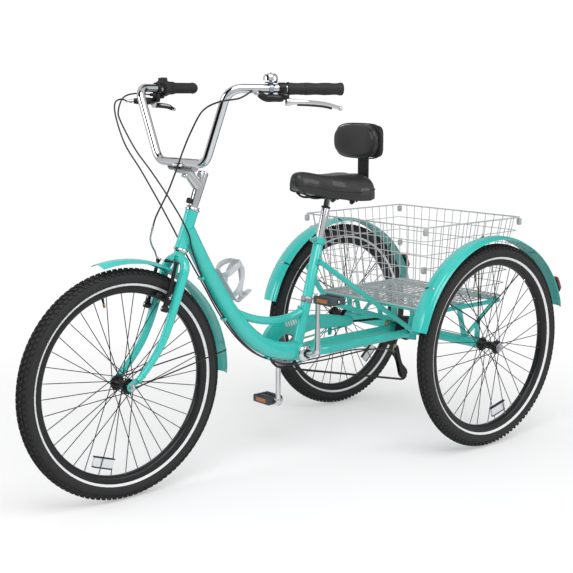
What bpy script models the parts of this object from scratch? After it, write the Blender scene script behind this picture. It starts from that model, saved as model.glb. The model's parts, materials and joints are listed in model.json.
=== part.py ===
"""Adult tricycle: step-through frame, front wheel steered by a high-rise bar, two rear wheels
with a wire basket between them, seven-speed chain drive to the right rear wheel.

Metres, +Z up. Forward is -Y and the rider's left is +X. The origin is on the ground, under the
middle of the whole machine. Every piece is one closed solid, made by a function of its own.
"""

import math

import bmesh
import bpy
import numpy as np

# ---- driving dimensions -------------------------------------------------------------------
WHEEL_RADIUS = 0.330
WHEELBASE = 1.167
TRACK = 0.700
TYRE_WIDTH = 0.050
TYRE_HEIGHT = 0.050
RIM_DEPTH = 0.020
RIM_WIDTH = 0.029
RIM_WALL_LIFT = 0.007
WHEEL_SIDES = 40
SPOKES_PER_FLANGE = 10
SPOKE_RADIUS = 0.0011

FRONT_FLANGE_SPACING = 0.056
REAR_FLANGE_SPACING = 0.058
HUB_FLANGE_RADIUS = 0.0215
HUB_BARREL_RADIUS = 0.0130
HUB_OVERHANG = 0.010
FRONT_AXLE_RADIUS = 0.0045
REAR_AXLE_RADIUS = 0.0075
AXLE_TUBE_RADIUS = 0.0160

HEAD_LEAN = math.radians(21.2)
FORK_RAKE = 0.0606
HEAD_TUBE_LENGTH = 0.1125
HEAD_TUBE_RADIUS = 0.0185
STEERER_RADIUS = 0.0127
QUILL_RADIUS = 0.0111
BLADE_RADIUS = 0.0135
BLADE_TIP_RADIUS = 0.0085
BLADE_SPREAD = 0.0470
FORK_DROPOUT = 0.0055
DROPOUT_SPACE = 0.0030
HEAD_TUBE_WALL = 0.0030
CUP_LIP = 0.0030
STEERER_PROUD = 0.0040
STEM_CLAMP_LENGTH = 0.0450
PAD_GAP = 0.0025
PAD_THICKNESS = 0.0100
CUP_HEIGHT = 0.0100
STEM_RISE = 0.1180
STEM_REACH = 0.0720
STEM_CLIMB = 0.0200

FENDER_CLEARANCE = 0.0250
FENDER_HALF_WIDTH = 0.0320
FENDER_CROWN = 0.0090
FENDER_WALL = 0.0016
REAR_FENDER_SPAN = math.radians(75.0)
FRONT_FENDER_AHEAD = math.radians(12.0)
FRONT_FENDER_BEHIND = math.radians(93.0)
STAY_RADIUS = 0.0020
FENDER_LUG_INSET = 0.0100
FENDER_LUG_HALF = 0.0030

CHAINSTAY_LENGTH = 0.515
BRACKET_DROP = 0.0020
BRACKET_SHELL_RADIUS = 0.0290
BRACKET_SHELL_WIDTH = 0.0680
BRACKET_SHELL_WALL = 0.0040
DOWN_TUBE_RADIUS = 0.0265
DOWN_TUBE_SWELL = 0.0030
TOP_TUBE_RADIUS = 0.0125
SEAT_TUBE_RADIUS = 0.0165
SEAT_TUBE_LENGTH = 0.368
SEAT_LEAN = math.radians(15.6)
SEATPOST_RADIUS = 0.0127
SEATPOST_EXPOSED = 0.0900
SEATPOST_INSERTION = 0.1400
POST_NECK_RADIUS = 0.0100
POST_TOP_DROP = 0.0120
SADDLE_RISE = 0.1370
CHAINSTAY_SPREAD = 0.0450
CHAINSTAY_RADIUS = 0.0095
SEAT_STAY_RADIUS = 0.0085
DROPOUT_HALF_THICKNESS = 0.0030
RACK_RADIUS = 0.0075
BACKREST_SETBACK = 0.150
BACKREST_THICKNESS = 0.006

CRANK_LENGTH = 0.184
CRANK_RADIUS = 0.0085
CRANK_ARM_OFFSET = 0.0950
CHAIN_LINE = 0.0600
CHAINRING_TEETH = 32
FREEWHEEL_TEETH = 16
SPROCKETS = 7
SPROCKET_STEP = 0.0019
CHAIN_PITCH = 0.0127
CHAIN_WIDTH = 0.0060
CHAIN_HEIGHT = 0.0070
PEDAL_LENGTH = 0.0600
PEDAL_WIDTH = 0.0850
PEDAL_HEIGHT = 0.0250
SPINDLE_RADIUS = 0.0048
PULLEY_RADIUS = 0.0170
PULLEY_PIN_RADIUS = 0.0030

BAR_RADIUS = 0.0125
GRIP_RADIUS = 0.0165
BAR_INSET = 0.0040
BAR_LOW_HALF_WIDTH = 0.112
BAR_TOP_HALF_WIDTH = 0.213
BAR_HALF_WIDTH = 0.344
BAR_RISE = 0.2180
BAR_LOW_LIFT = 0.0110
BAR_SWEEP = 0.2960
BAR_FORWARD = 0.0020
LEFT_GRIP_LENGTH = 0.1600
RIGHT_GRIP_LENGTH = 0.1300
TWIST_LENGTH = 0.0420
SHIFTER_LENGTH = 0.0260

BASKET_CLEARANCE = 0.0380
BASKET_TAPER = 0.0440
BASKET_HALF_LENGTH = 0.2340
BASKET_END_TAPER = 0.0340
BASKET_FLOOR_RISE = 0.1330
BASKET_HEIGHT = 0.2700
BASKET_WALL = 0.0030

# Fits: still pieces, moving pieces, the chain on its sprockets, and how far a cutter runs past.
GAP = 0.0003
RUNNING = 0.0006
CHAIN_SLACK = 0.0012
PAST = 0.0100
CABLE_RADIUS = 0.0025

# ---- places worked out from the dimensions ------------------------------------------------
AXLE_Z = WHEEL_RADIUS
FENDER_RADIUS = WHEEL_RADIUS + FENDER_CLEARANCE
REAR_AXLE_Y = (WHEELBASE + WHEEL_RADIUS - FENDER_RADIUS * math.sin(REAR_FENDER_SPAN)) / 2
FRONT_AXLE_Y = REAR_AXLE_Y - WHEELBASE
HALF_TRACK = TRACK / 2
RIM_OUTER = WHEEL_RADIUS - TYRE_HEIGHT - GAP
RIM_INNER = RIM_OUTER - RIM_DEPTH
BRACKET_Y = REAR_AXLE_Y - CHAINSTAY_LENGTH
BRACKET_Z = AXLE_Z - BRACKET_DROP
CHAINRING_RADIUS = CHAINRING_TEETH * CHAIN_PITCH / (2 * math.pi)
FREEWHEEL_RADIUS = FREEWHEEL_TEETH * CHAIN_PITCH / (2 * math.pi)

STEER_UP = np.array([0, math.sin(HEAD_LEAN), math.cos(HEAD_LEAN)])
STEER_AHEAD = np.array([0, -math.cos(HEAD_LEAN), math.sin(HEAD_LEAN)])
STEER_FOOT = np.array([0, FRONT_AXLE_Y, AXLE_Z]) - FORK_RAKE * STEER_AHEAD
CROWN_REACH = FENDER_RADIUS + BLADE_RADIUS + 0.0210
CROWN_S = math.sqrt(CROWN_REACH**2 - FORK_RAKE**2)
HEAD_BOTTOM_S = CROWN_S + 0.0310
HEAD_TOP_S = HEAD_BOTTOM_S + HEAD_TUBE_LENGTH
STEM_TOP_S = HEAD_TOP_S + STEM_RISE
RACK_Z = AXLE_Z + BASKET_FLOOR_RISE - 0.0100
SEAT_UP = np.array([0, math.sin(SEAT_LEAN), math.cos(SEAT_LEAN)])
SEAT_FOOT = np.array([0, BRACKET_Y - 0.0060, BRACKET_Z])
SEAT_TUBE_TOP = SEAT_FOOT + SEAT_TUBE_LENGTH * SEAT_UP
SADDLE_CLAMP = SEAT_TUBE_TOP + SADDLE_RISE * SEAT_UP


def steering_point(along, ahead=0.0, side=0.0):
    """The place `along` up the steering axis from the axle's foot, `ahead` of it and to one side."""
    return STEER_FOOT + along * STEER_UP + ahead * STEER_AHEAD + np.array([side, 0, 0])


CLAMP_CENTRE = steering_point(STEM_TOP_S) + np.array([0, -STEM_REACH, STEM_CLIMB])
GUIDE_PULLEY = np.array([-CHAIN_LINE, REAR_AXLE_Y - 0.0080, AXLE_Z - 0.0790])
TENSION_PULLEY = np.array([-CHAIN_LINE, REAR_AXLE_Y + 0.0300, AXLE_Z - 0.1750])

# ---- colours ------------------------------------------------------------------------------
TEAL = ((0.045, 0.610, 0.555), 0.30, 0.0)
CHROME = ((0.80, 0.80, 0.82), 0.12, 1.0)
STEEL = ((0.55, 0.56, 0.58), 0.35, 1.0)
BLACK_METAL = ((0.020, 0.020, 0.022), 0.40, 0.6)
BLACK_PLASTIC = ((0.022, 0.022, 0.024), 0.50, 0.0)
RUBBER = ((0.030, 0.030, 0.032), 0.80, 0.0)
LEATHERETTE = ((0.025, 0.025, 0.027), 0.45, 0.0)
WHITE_WIRE = ((0.85, 0.85, 0.86), 0.40, 0.0)
WHITE_PLASTIC = ((0.82, 0.83, 0.84), 0.45, 0.0)


# ---- modelling helpers --------------------------------------------------------------------
def clear_scene():
    for item in list(bpy.data.objects):
        bpy.data.objects.remove(item, do_unlink=True)


def material(name, look):
    colour, roughness, metallic = look
    made = bpy.data.materials.new(name)
    made.use_nodes = True
    shader = made.node_tree.nodes["Principled BSDF"]
    shader.inputs["Base Color"].default_value = (*colour, 1)
    shader.inputs["Roughness"].default_value = roughness
    shader.inputs["Metallic"].default_value = metallic
    return made


def place(bm, name, look=None):
    """A bmesh made into a named object, its faces turned outwards and its sharp edges kept."""
    bmesh.ops.recalc_face_normals(bm, faces=bm.faces)
    mesh = bpy.data.meshes.new(name)
    bm.to_mesh(mesh)
    bm.free()
    made = bpy.data.objects.new(name, mesh)
    bpy.context.scene.collection.objects.link(made)
    if look:
        mesh.materials.append(material(name, look))
    mesh.shade_smooth()
    mesh.set_sharp_from_angle(angle=math.radians(35))
    return made


def loft(rings, closed=False):
    """A bmesh skin over rings of points; its ends are capped, or joined where it closes on itself."""
    bm = bmesh.new()
    rows = [[bm.verts.new(p) for p in ring] for ring in rings]
    count = len(rows[0])
    pairs = list(zip(rows, rows[1:]))
    if closed:
        pairs.append((rows[-1], rows[0]))
    for low, high in pairs:
        for i in range(count):
            j = (i + 1) % count
            bm.faces.new((low[i], low[j], high[j], high[i]))
    if not closed:
        bm.faces.new(rows[0][::-1])
        bm.faces.new(rows[-1])
    return bm


def frames_along(path):
    """Two unit directions across the path at each point, carried along without twist."""
    ahead = np.gradient(path, axis=0)
    ahead /= np.linalg.norm(ahead, axis=1)[:, None]
    seed = np.array([1.0, 0, 0]) if abs(ahead[0, 0]) < 0.9 else np.array([0, 0, 1.0])
    across = []
    for step in ahead:
        seed = seed - step * (seed @ step)
        seed = seed / np.linalg.norm(seed)
        across.append(seed)
    across = np.array(across)
    return across, np.cross(ahead, across)


def swept(path, radius, sides=10, flatten=1.0):
    """A bar along a path: radius may change along it, flatten scales it across its second side."""
    path = np.asarray(path, float)
    radius = np.broadcast_to(np.asarray(radius, float), (len(path),))
    first, second = frames_along(path)
    turn = (np.arange(sides) + 0.5) * 2 * math.pi / sides
    rings = (
        path[:, None]
        + first[:, None] * (radius[:, None] * np.cos(turn))[..., None]
        + second[:, None] * (radius[:, None] * np.sin(turn))[..., None] * flatten
    )
    return loft(rings)


def rod(start, end, radius, sides=12):
    return swept([start, end], radius, sides)


def revolved(profile, centre, sides=24, fit=True):
    """A closed profile of (x, radius) turned about X, flats down; radii are to the flats' middles."""
    turn = (np.arange(sides) + 0.5) * 2 * math.pi / sides
    grow = 1 / math.cos(math.pi / sides) if fit else 1
    profile = np.asarray(profile, float)
    rings = [
        np.stack(
            [
                centre[0] + profile[:, 0],
                centre[1] + grow * profile[:, 1] * math.sin(t),
                centre[2] - grow * profile[:, 1] * math.cos(t),
            ],
            axis=1,
        )
        for t in turn
    ]
    return loft(rings, closed=True)


def turned(stations, origin, direction, sides=16):
    """A solid of revolution from (distance, radius) stations along a direction, with flat ends."""
    direction = np.asarray(direction, float) / np.linalg.norm(direction)
    across = np.cross(direction, [0.3, 0.9, 0.2] if abs(direction[0]) > 0.9 else [1, 0, 0])
    across /= np.linalg.norm(across)
    other = np.cross(direction, across)
    turn = (np.arange(sides) + 0.5) * 2 * math.pi / sides
    circle = across * np.cos(turn)[:, None] + other * np.sin(turn)[:, None]
    return loft([np.asarray(origin) + direction * d + circle * r for d, r in stations])


def collar(origin, direction, length, outer, inner, sides=16):
    """A hollow cylinder that starts at origin and runs along direction."""
    direction = np.asarray(direction, float) / np.linalg.norm(direction)
    across = np.cross(direction, [0, 0.6, 0.8] if abs(direction[0]) > 0.9 else [1, 0, 0])
    across /= np.linalg.norm(across)
    other = np.cross(direction, across)
    turn = (np.arange(sides) + 0.5) * 2 * math.pi / sides
    profile = [(0, inner), (0, outer), (length, outer), (length, inner)]
    origin = np.asarray(origin)
    rings = [
        [origin + direction * d + r * (across * math.cos(t) + other * math.sin(t)) for d, r in profile]
        for t in turn
    ]
    return loft(rings, closed=True)


def block(low, high):
    low = np.asarray(low, float)
    high = np.asarray(high, float)
    bm = bmesh.new()
    bmesh.ops.create_cube(bm, size=1)
    for v in bm.verts:
        v.co = (low + high) / 2 + np.array(v.co) * (high - low)
    return bm


def slab(centre, axes, sizes):
    """A block with its own axes."""
    bm = bmesh.new()
    bmesh.ops.create_cube(bm, size=1)
    axes = np.asarray(axes, float)
    for v in bm.verts:
        v.co = np.asarray(centre) + (np.array(v.co) * np.asarray(sizes)) @ axes
    return bm


def plate(outline, axis_start, axis_end):
    """An outline of (y, z) points extruded along X."""
    return loft([[(x, y, z) for y, z in outline] for x in (axis_start, axis_end)])


def solid(name, look, pieces, cuts=()):
    """Bmesh pieces united into one object, then cut, with exact Booleans."""
    base = place(pieces[0], name, look)
    tools = [(place(bm, "tool"), "UNION") for bm in pieces[1:]]
    tools += [(place(bm, "tool"), "DIFFERENCE") for bm in cuts]
    for tool, operation in tools:
        modifier = base.modifiers.new(operation.lower(), "BOOLEAN")
        modifier.operation = operation
        modifier.solver = "EXACT"
        modifier.object = tool
    if tools:
        bpy.context.view_layer.update()
        graph = bpy.context.evaluated_depsgraph_get()
        mesh = bpy.data.meshes.new_from_object(base.evaluated_get(graph))
        base.modifiers.clear()
        base.data = mesh
        mesh.name = name
        for tool, _ in tools:
            bpy.data.objects.remove(tool, do_unlink=True)
    return base


def joined(bms):
    """Separate bodies gathered into one bmesh, to be united with another in one Boolean."""
    whole = bmesh.new()
    for bm in bms:
        scratch = bpy.data.meshes.new("scratch")
        bmesh.ops.recalc_face_normals(bm, faces=bm.faces)
        bm.to_mesh(scratch)
        bm.free()
        whole.from_mesh(scratch)
        bpy.data.meshes.remove(scratch)
    return whole


def around(radius, sides, clearance=GAP):
    """Corner radius of a many-sided bore whose flats clear a round pin."""
    return (radius + clearance) / math.cos(math.pi / sides)


def bezier(p0, p1, p2, p3, count):
    t = np.linspace(0, 1, count)[:, None]
    p0, p1, p2, p3 = (np.asarray(p, float) for p in (p0, p1, p2, p3))
    return (1 - t) ** 3 * p0 + 3 * (1 - t) ** 2 * t * p1 + 3 * (1 - t) * t**2 * p2 + t**3 * p3


def smooth_path(points, count):
    """A Catmull-Rom curve through points, sampled at even distances."""
    points = np.asarray(points, float)
    padded = np.vstack([2 * points[0] - points[1], points, 2 * points[-1] - points[-2]])
    t = np.linspace(0, 1, 12, endpoint=False)[:, None]
    dense = []
    for a, b, c, d in zip(padded, padded[1:], padded[2:], padded[3:]):
        bend = 2 * a - 5 * b + 4 * c - d
        twist = 3 * b - a - 3 * c + d
        dense.append(0.5 * (2 * b + (c - a) * t + bend * t**2 + twist * t**3))
    dense = np.vstack(dense + [points[-1:]])
    gone = np.concatenate([[0], np.cumsum(np.linalg.norm(np.diff(dense, axis=0), axis=1))])
    even = np.linspace(0, gone[-1], count)
    return np.stack([np.interp(even, gone, dense[:, k]) for k in range(3)], axis=1)


def filleted(points, radius, steps=5):
    """A polyline whose inner corners are rounded with arcs of one radius."""
    points = np.asarray(points, float)
    path = [points[0]]
    for before, corner, after in zip(points, points[1:], points[2:]):
        back = (before - corner) / np.linalg.norm(before - corner)
        on = (after - corner) / np.linalg.norm(after - corner)
        half = math.acos(np.clip(back @ on, -1, 1)) / 2
        reach = radius / math.tan(half)
        middle = corner + (back + on) / np.linalg.norm(back + on) * radius / math.sin(half)
        start = corner + back * reach - middle
        end = corner + on * reach - middle
        angle = math.pi - 2 * half
        for k in range(steps + 1):
            t = k / steps
            arc = start * math.sin((1 - t) * angle) + end * math.sin(t * angle)
            path.append(middle + arc / math.sin(angle))
    path.append(points[-1])
    return np.array(path)


# ---- wheels -------------------------------------------------------------------------------
def tyre(name, centre):
    tread = TYRE_WIDTH * 0.24
    half = TYRE_WIDTH / 2
    bead = WHEEL_RADIUS - TYRE_HEIGHT
    profile = [
        (-tread, WHEEL_RADIUS),
        (tread, WHEEL_RADIUS),
        (half * 0.92, WHEEL_RADIUS - TYRE_HEIGHT * 0.22),
        (half, WHEEL_RADIUS - TYRE_HEIGHT * 0.48),
        (RIM_WIDTH * 0.40, bead),
        (-RIM_WIDTH * 0.40, bead),
        (-half, WHEEL_RADIUS - TYRE_HEIGHT * 0.48),
        (-half * 0.92, WHEEL_RADIUS - TYRE_HEIGHT * 0.22),
    ]
    solid(name, RUBBER, [revolved(profile, centre, WHEEL_SIDES)])


def rim(name, centre):
    half = RIM_WIDTH / 2
    wall = RIM_INNER + RIM_WALL_LIFT
    profile = [(-half, RIM_OUTER), (half, RIM_OUTER), (half, wall), (0, RIM_INNER), (-half, wall)]
    solid(name, BLACK_METAL, [revolved(profile, centre, WHEEL_SIDES)])


def hub(name, centre, spacing, bore):
    """Barrel and two flanges around a bore, with spokes that end just under the rim."""
    side = spacing / 2
    end = side + HUB_OVERHANG
    flange = 0.0020
    profile = [
        (-end, bore),
        (-end, HUB_BARREL_RADIUS),
        (-side - flange, HUB_BARREL_RADIUS),
        (-side - flange, HUB_FLANGE_RADIUS),
        (-side + flange, HUB_FLANGE_RADIUS),
        (-side + flange, HUB_BARREL_RADIUS),
    ]
    profile += [(-x, r) for x, r in profile[::-1]]
    spokes = []
    for k in range(2 * SPOKES_PER_FLANGE):
        turn = math.pi * (k + 0.5) / SPOKES_PER_FLANGE
        out = np.array([0, math.sin(turn), math.cos(turn)])
        flange_x = side if k % 2 else -side
        rim_x = 0.003 if k % 2 else -0.003
        start = np.asarray(centre) + out * (HUB_FLANGE_RADIUS - 0.003) + [flange_x, 0, 0]
        stop = np.asarray(centre) + out * (RIM_INNER - 2 * SPOKE_RADIUS) + [rim_x, 0, 0]
        spokes.append(rod(start, stop, SPOKE_RADIUS, 4))
    solid(name, BLACK_METAL, [revolved(profile, centre, 16, fit=False), joined(spokes)])


def wheel(prefix, centre, spacing, bore):
    tyre(prefix + "_tyre", centre)
    rim(prefix + "_rim", centre)
    hub(prefix + "_hub", centre, spacing, bore)


def nutted(nut, radius, nut_radius, nut_length):
    """Stations of an axle along X with a nut at each side, `nut` from the middle, and short ends."""
    face = nut + nut_length
    stations = [
        (-face - 0.004, radius),
        (-face, radius),
        (-face, nut_radius),
        (-nut, nut_radius),
        (-nut, radius),
    ]
    return stations + [(-d, r) for d, r in stations[::-1]]


def front_axle():
    """Fixed axle with its two nuts, outside the dropouts."""
    dropout = FRONT_FLANGE_SPACING / 2 + HUB_OVERHANG + DROPOUT_SPACE + FORK_DROPOUT
    stations = nutted(dropout + GAP, FRONT_AXLE_RADIUS, 0.0090, 0.008)
    solid("front_axle", STEEL, [turned(stations, (0, FRONT_AXLE_Y, AXLE_Z), (1, 0, 0))])


def rear_axle():
    """Live axle through both axle tubes and both hubs, with an end nut on each side."""
    end = HALF_TRACK + REAR_FLANGE_SPACING / 2 + HUB_OVERHANG + GAP
    stations = nutted(end, REAR_AXLE_RADIUS, 0.0120, 0.010)
    solid("rear_axle", STEEL, [turned(stations, (0, REAR_AXLE_Y, AXLE_Z), (1, 0, 0))])


# ---- fenders ------------------------------------------------------------------------------
def on_wheel(centre, radius, turn, across=0.0):
    """The place at a radius round a wheel's centre, turned back from its top."""
    return np.asarray(centre) + [across, radius * math.sin(turn), radius * math.cos(turn)]


def fender_shell(centre, ahead, behind, steps):
    """A crowned strip bent over the wheel from `ahead` to `behind` the top."""
    across = np.linspace(-1, 1, 5)
    outer = [(FENDER_HALF_WIDTH * u, FENDER_RADIUS - FENDER_CROWN * u * u) for u in across]
    section = outer + [(x, r - FENDER_WALL) for x, r in outer[::-1]]
    rings = [
        [on_wheel(centre, r, turn, x) for x, r in section]
        for turn in np.linspace(-ahead, behind, steps)
    ]
    return loft(rings)


def rear_fender(name, side):
    """Fender with three wire stays and the small bracket that bolts them to the rear frame."""
    centre = np.array([side * HALF_TRACK, REAR_AXLE_Y, AXLE_Z])
    shell = fender_shell(centre, REAR_FENDER_SPAN, REAR_FENDER_SPAN, 23)
    foot_x = HALF_TRACK - REAR_FLANGE_SPACING / 2 - HUB_OVERHANG - FENDER_LUG_INSET
    foot = np.array([side * foot_x, REAR_AXLE_Y, AXLE_Z + 0.0700])
    edge = FENDER_RADIUS - FENDER_CROWN - FENDER_WALL / 2
    stays = []
    for turn in (math.radians(-52), math.radians(-4), math.radians(44)):
        tip = on_wheel(centre, edge, turn, -side * (FENDER_HALF_WIDTH - STAY_RADIUS / 2))
        stays.append(rod(foot, tip, STAY_RADIUS, 5))
    half_pad = np.array([FENDER_LUG_HALF, 0.012, 0.010])
    pad = block(foot - half_pad, foot + half_pad)
    solid(name, TEAL, [shell, pad] + stays)


def front_fender():
    """Fender held at the crown, with two wire stays from its tail to the axle ends."""
    centre = np.array([0, FRONT_AXLE_Y, AXLE_Z])
    shell = fender_shell(centre, FRONT_FENDER_AHEAD, FRONT_FENDER_BEHIND, 17)
    inner = FENDER_RADIUS - FENDER_CROWN - FENDER_WALL / 2
    turn = math.radians(84)
    stays = []
    for side in (1, -1):
        tip = on_wheel(centre, inner, turn, side * (FENDER_HALF_WIDTH - STAY_RADIUS / 2))
        foot = centre + [side * (BLADE_SPREAD + 0.0120), 0.024, 0.010]
        stays.append(rod(foot, tip, STAY_RADIUS, 5))
    top = steering_point(CROWN_S - BLADE_RADIUS - 0.0006)
    low = steering_point(math.sqrt((FENDER_RADIUS - 0.0010) ** 2 - FORK_RAKE**2))
    lug = swept([low, top], [0.010, 0.007], 6)
    solid("front_fender", TEAL, [shell, lug] + stays)


# ---- main frame ---------------------------------------------------------------------------
def down_tube_path(count=14):
    start = steering_point(HEAD_BOTTOM_S + HEAD_TUBE_LENGTH * 0.52)
    leave = np.array([0, 0.4616, -0.8870])
    end = np.array([0, BRACKET_Y, BRACKET_Z + 0.001])
    arrive = np.array([0, 0.995, -0.0995])
    return bezier(start, start + 0.40 * leave, end - 0.16 * arrive, end, count)


def chain_stay(side):
    start = np.array([side * (CHAINSTAY_SPREAD - 0.025), BRACKET_Y + 0.015, BRACKET_Z])
    bend = np.array([side * CHAINSTAY_SPREAD, BRACKET_Y + 0.095, BRACKET_Z - 0.001])
    end = np.array([side * CHAINSTAY_SPREAD, REAR_AXLE_Y - AXLE_TUBE_RADIUS - 0.0400, AXLE_Z])
    return swept(filleted([start, bend, end], 0.10, 3), CHAINSTAY_RADIUS, 10, flatten=1.5)


def dropout_plate(side):
    """Upright plate at a chain stay's end, which bolts against the rear frame."""
    y = REAR_AXLE_Y - AXLE_TUBE_RADIUS - 0.0010
    x = side * CHAINSTAY_SPREAD
    top = RACK_Z - 0.034
    outline = [(y - 0.060, AXLE_Z - 0.014), (y, AXLE_Z - 0.030), (y, top), (y - 0.022, top)]
    return plate(outline, x - DROPOUT_HALF_THICKNESS, x + DROPOUT_HALF_THICKNESS)


def main_frame():
    """Head tube, swan-neck down tube, low top tube, seat tube, bracket shell and chain stays."""
    head = rod(steering_point(HEAD_BOTTOM_S), steering_point(HEAD_TOP_S), HEAD_TUBE_RADIUS, 16)
    down_path = down_tube_path()
    swell = np.linspace(-DOWN_TUBE_SWELL, DOWN_TUBE_SWELL, len(down_path))
    down = swept(down_path, DOWN_TUBE_RADIUS + swell, 12)
    start = down_path[4]
    end = SEAT_FOOT + SEAT_UP * 0.142
    top = bezier(start, start + [0, 0.085, -0.058], end - [0, 0.090, 0.052], end, 11)
    seat = rod(SEAT_FOOT, SEAT_TUBE_TOP, SEAT_TUBE_RADIUS, 16)
    half = BRACKET_SHELL_WIDTH / 2
    shell = rod((-half, BRACKET_Y, BRACKET_Z), (half, BRACKET_Y, BRACKET_Z), BRACKET_SHELL_RADIUS, 20)
    pieces = [down, head, seat, shell, swept(top, TOP_TUBE_RADIUS, 10)]
    pieces += [chain_stay(1), chain_stay(-1), dropout_plate(1), dropout_plate(-1)]
    head_low = steering_point(HEAD_BOTTOM_S - PAST)
    head_high = steering_point(HEAD_TOP_S + PAST)
    bore = rod(head_low, head_high, HEAD_TUBE_RADIUS - HEAD_TUBE_WALL, 16)
    post_foot = SEAT_TUBE_TOP - SEAT_UP * (SEATPOST_INSERTION + 0.070)
    post_bore = rod(post_foot, SEAT_TUBE_TOP + SEAT_UP * PAST, SEATPOST_RADIUS + GAP, 16)
    shell_end = np.array([half + PAST, 0, 0])
    shell_middle = np.array([0, BRACKET_Y, BRACKET_Z])
    shell_inner = BRACKET_SHELL_RADIUS - BRACKET_SHELL_WALL
    shell_bore = rod(shell_middle - shell_end, shell_middle + shell_end, shell_inner, 20)
    solid("main_frame", TEAL, pieces, [bore, post_bore, shell_bore])


def seat_stays():
    """A straight left stay and a bowed right one, from beside the seat tube to the rear frame."""
    high = SEAT_FOOT + SEAT_UP * 0.292
    beside = SEAT_TUBE_RADIUS + 0.009 + GAP
    outside = CHAINSTAY_SPREAD + CHAINSTAY_RADIUS + SEAT_STAY_RADIUS + 2 * GAP
    inside = CHAINSTAY_SPREAD - DROPOUT_HALF_THICKNESS - SEAT_STAY_RADIUS - GAP
    rear_y = REAR_AXLE_Y - AXLE_TUBE_RADIUS - 0.0180
    left_end = np.array([outside, rear_y - 0.024, AXLE_Z + 0.012])
    left_start = np.array([beside, high[1], high[2]])
    solid("left_seat_stay", TEAL, [rod(left_start, left_end, SEAT_STAY_RADIUS, 10)])
    right_high = SEAT_FOOT + SEAT_UP * 0.270
    right = [
        np.array([-beside, right_high[1], right_high[2]]),
        np.array([-beside - 0.010, right_high[1] + 0.105, right_high[2] - 0.120]),
        np.array([-inside, rear_y - 0.120, AXLE_Z + 0.066]),
        np.array([-inside, rear_y - 0.010, AXLE_Z + 0.035]),
    ]
    solid("right_seat_stay", TEAL, [swept(smooth_path(right, 12), SEAT_STAY_RADIUS, 10)])


def headset_cups():
    """Bearing cups at both ends of the head tube, around the steerer."""
    outer = HEAD_TUBE_RADIUS + CUP_LIP
    inner = STEERER_RADIUS + RUNNING
    starts = {
        "lower_headset_cup": HEAD_BOTTOM_S - CUP_HEIGHT - GAP,
        "upper_headset_cup": HEAD_TOP_S + GAP,
    }
    for name, s in starts.items():
        body = collar(steering_point(s), STEER_UP, CUP_HEIGHT, outer, inner, 16)
        solid(name, CHROME, [body])


def bracket_cup():
    """Pressed bearing cup in the left end of the bracket shell."""
    start = (BRACKET_SHELL_WIDTH / 2 + GAP, BRACKET_Y, BRACKET_Z)
    outer = BRACKET_SHELL_RADIUS - 0.0025
    body = collar(start, (1, 0, 0), 0.006, outer, CRANK_RADIUS + 0.0020, 20)
    solid("left_bracket_cup", CHROME, [body])


def seat_clamp():
    """Band with a bolt lug around the top of the seat tube."""
    height = 0.018
    low = SEAT_TUBE_TOP - SEAT_UP * (height + 0.003)
    ring = collar(low, SEAT_UP, height, SEAT_TUBE_RADIUS + 0.004, SEAT_TUBE_RADIUS + GAP, 16)
    back = np.cross(SEAT_UP, [1, 0, 0])
    lug_centre = low + SEAT_UP * height / 2 - back * (SEAT_TUBE_RADIUS + 0.009)
    lug = slab(lug_centre, [[1, 0, 0], back, SEAT_UP], [0.016, 0.014, 0.014])
    solid("seat_clamp", TEAL, [ring, lug])


def rear_frame():
    """Two axle tubes under a rectangular rack of tubes that carries the basket."""
    hub_end = HALF_TRACK - REAR_FLANGE_SPACING / 2 - HUB_OVERHANG
    tube_end = hub_end - 0.0020
    rail_x = tube_end - 0.0550
    front = REAR_AXLE_Y - BASKET_HALF_LENGTH + BASKET_END_TAPER + 0.030
    back = REAR_AXLE_Y + BASKET_HALF_LENGTH - BASKET_END_TAPER - 0.030
    cross_radius = RACK_RADIUS - 0.0004
    rail_z = RACK_Z - RACK_RADIUS
    rails = []
    for x in (rail_x, -rail_x):
        rails.append(rod((x, front, rail_z), (x, back, rail_z), RACK_RADIUS, 8))
    for y in (front + 0.004, back - 0.004, REAR_AXLE_Y + 0.002):
        rails.append(rod((-rail_x, y, rail_z), (rail_x, y, rail_z), cross_radius, 8))
    gap_left = -0.0050
    gap_right = -CHAIN_LINE - 0.0450
    axle = np.array([0, REAR_AXLE_Y, AXLE_Z])
    across = np.array([1, 0, 0])
    left_tube = rod(axle + across * gap_left, axle + across * tube_end, AXLE_TUBE_RADIUS, 16)
    right_tube = rod(axle - across * tube_end, axle + across * gap_right, AXLE_TUBE_RADIUS, 16)
    posts = []
    for x in (rail_x - 0.010, gap_left + 0.030, gap_right - 0.030, -rail_x + 0.010):
        foot = (x, REAR_AXLE_Y, AXLE_Z + AXLE_TUBE_RADIUS * 0.7)
        posts.append(rod(foot, (x, REAR_AXLE_Y - 0.030, rail_z + 0.001), 0.0085, 8))
    braces = []
    for side in (1, -1):
        foot = (side * (rail_x - 0.0105), REAR_AXLE_Y + 0.004, AXLE_Z + 0.010)
        braces.append(rod(foot, (side * rail_x, back - 0.035, rail_z), 0.0065, 8))
        lug_outer = hub_end - FENDER_LUG_INSET - FENDER_LUG_HALF - GAP
        low_x, high_x = sorted((side * lug_outer, side * (lug_outer - 0.005)))
        low = (low_x, REAR_AXLE_Y - 0.011, AXLE_Z + 0.010)
        braces.append(block(low, (high_x, REAR_AXLE_Y + 0.011, AXLE_Z + 0.078)))
    reach = across * (tube_end + PAST)
    bore = rod(axle - reach, axle + reach, REAR_AXLE_RADIUS + RUNNING, 16)
    solid("rear_frame", TEAL, [left_tube] + rails + [right_tube] + posts + braces, [bore])


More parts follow.
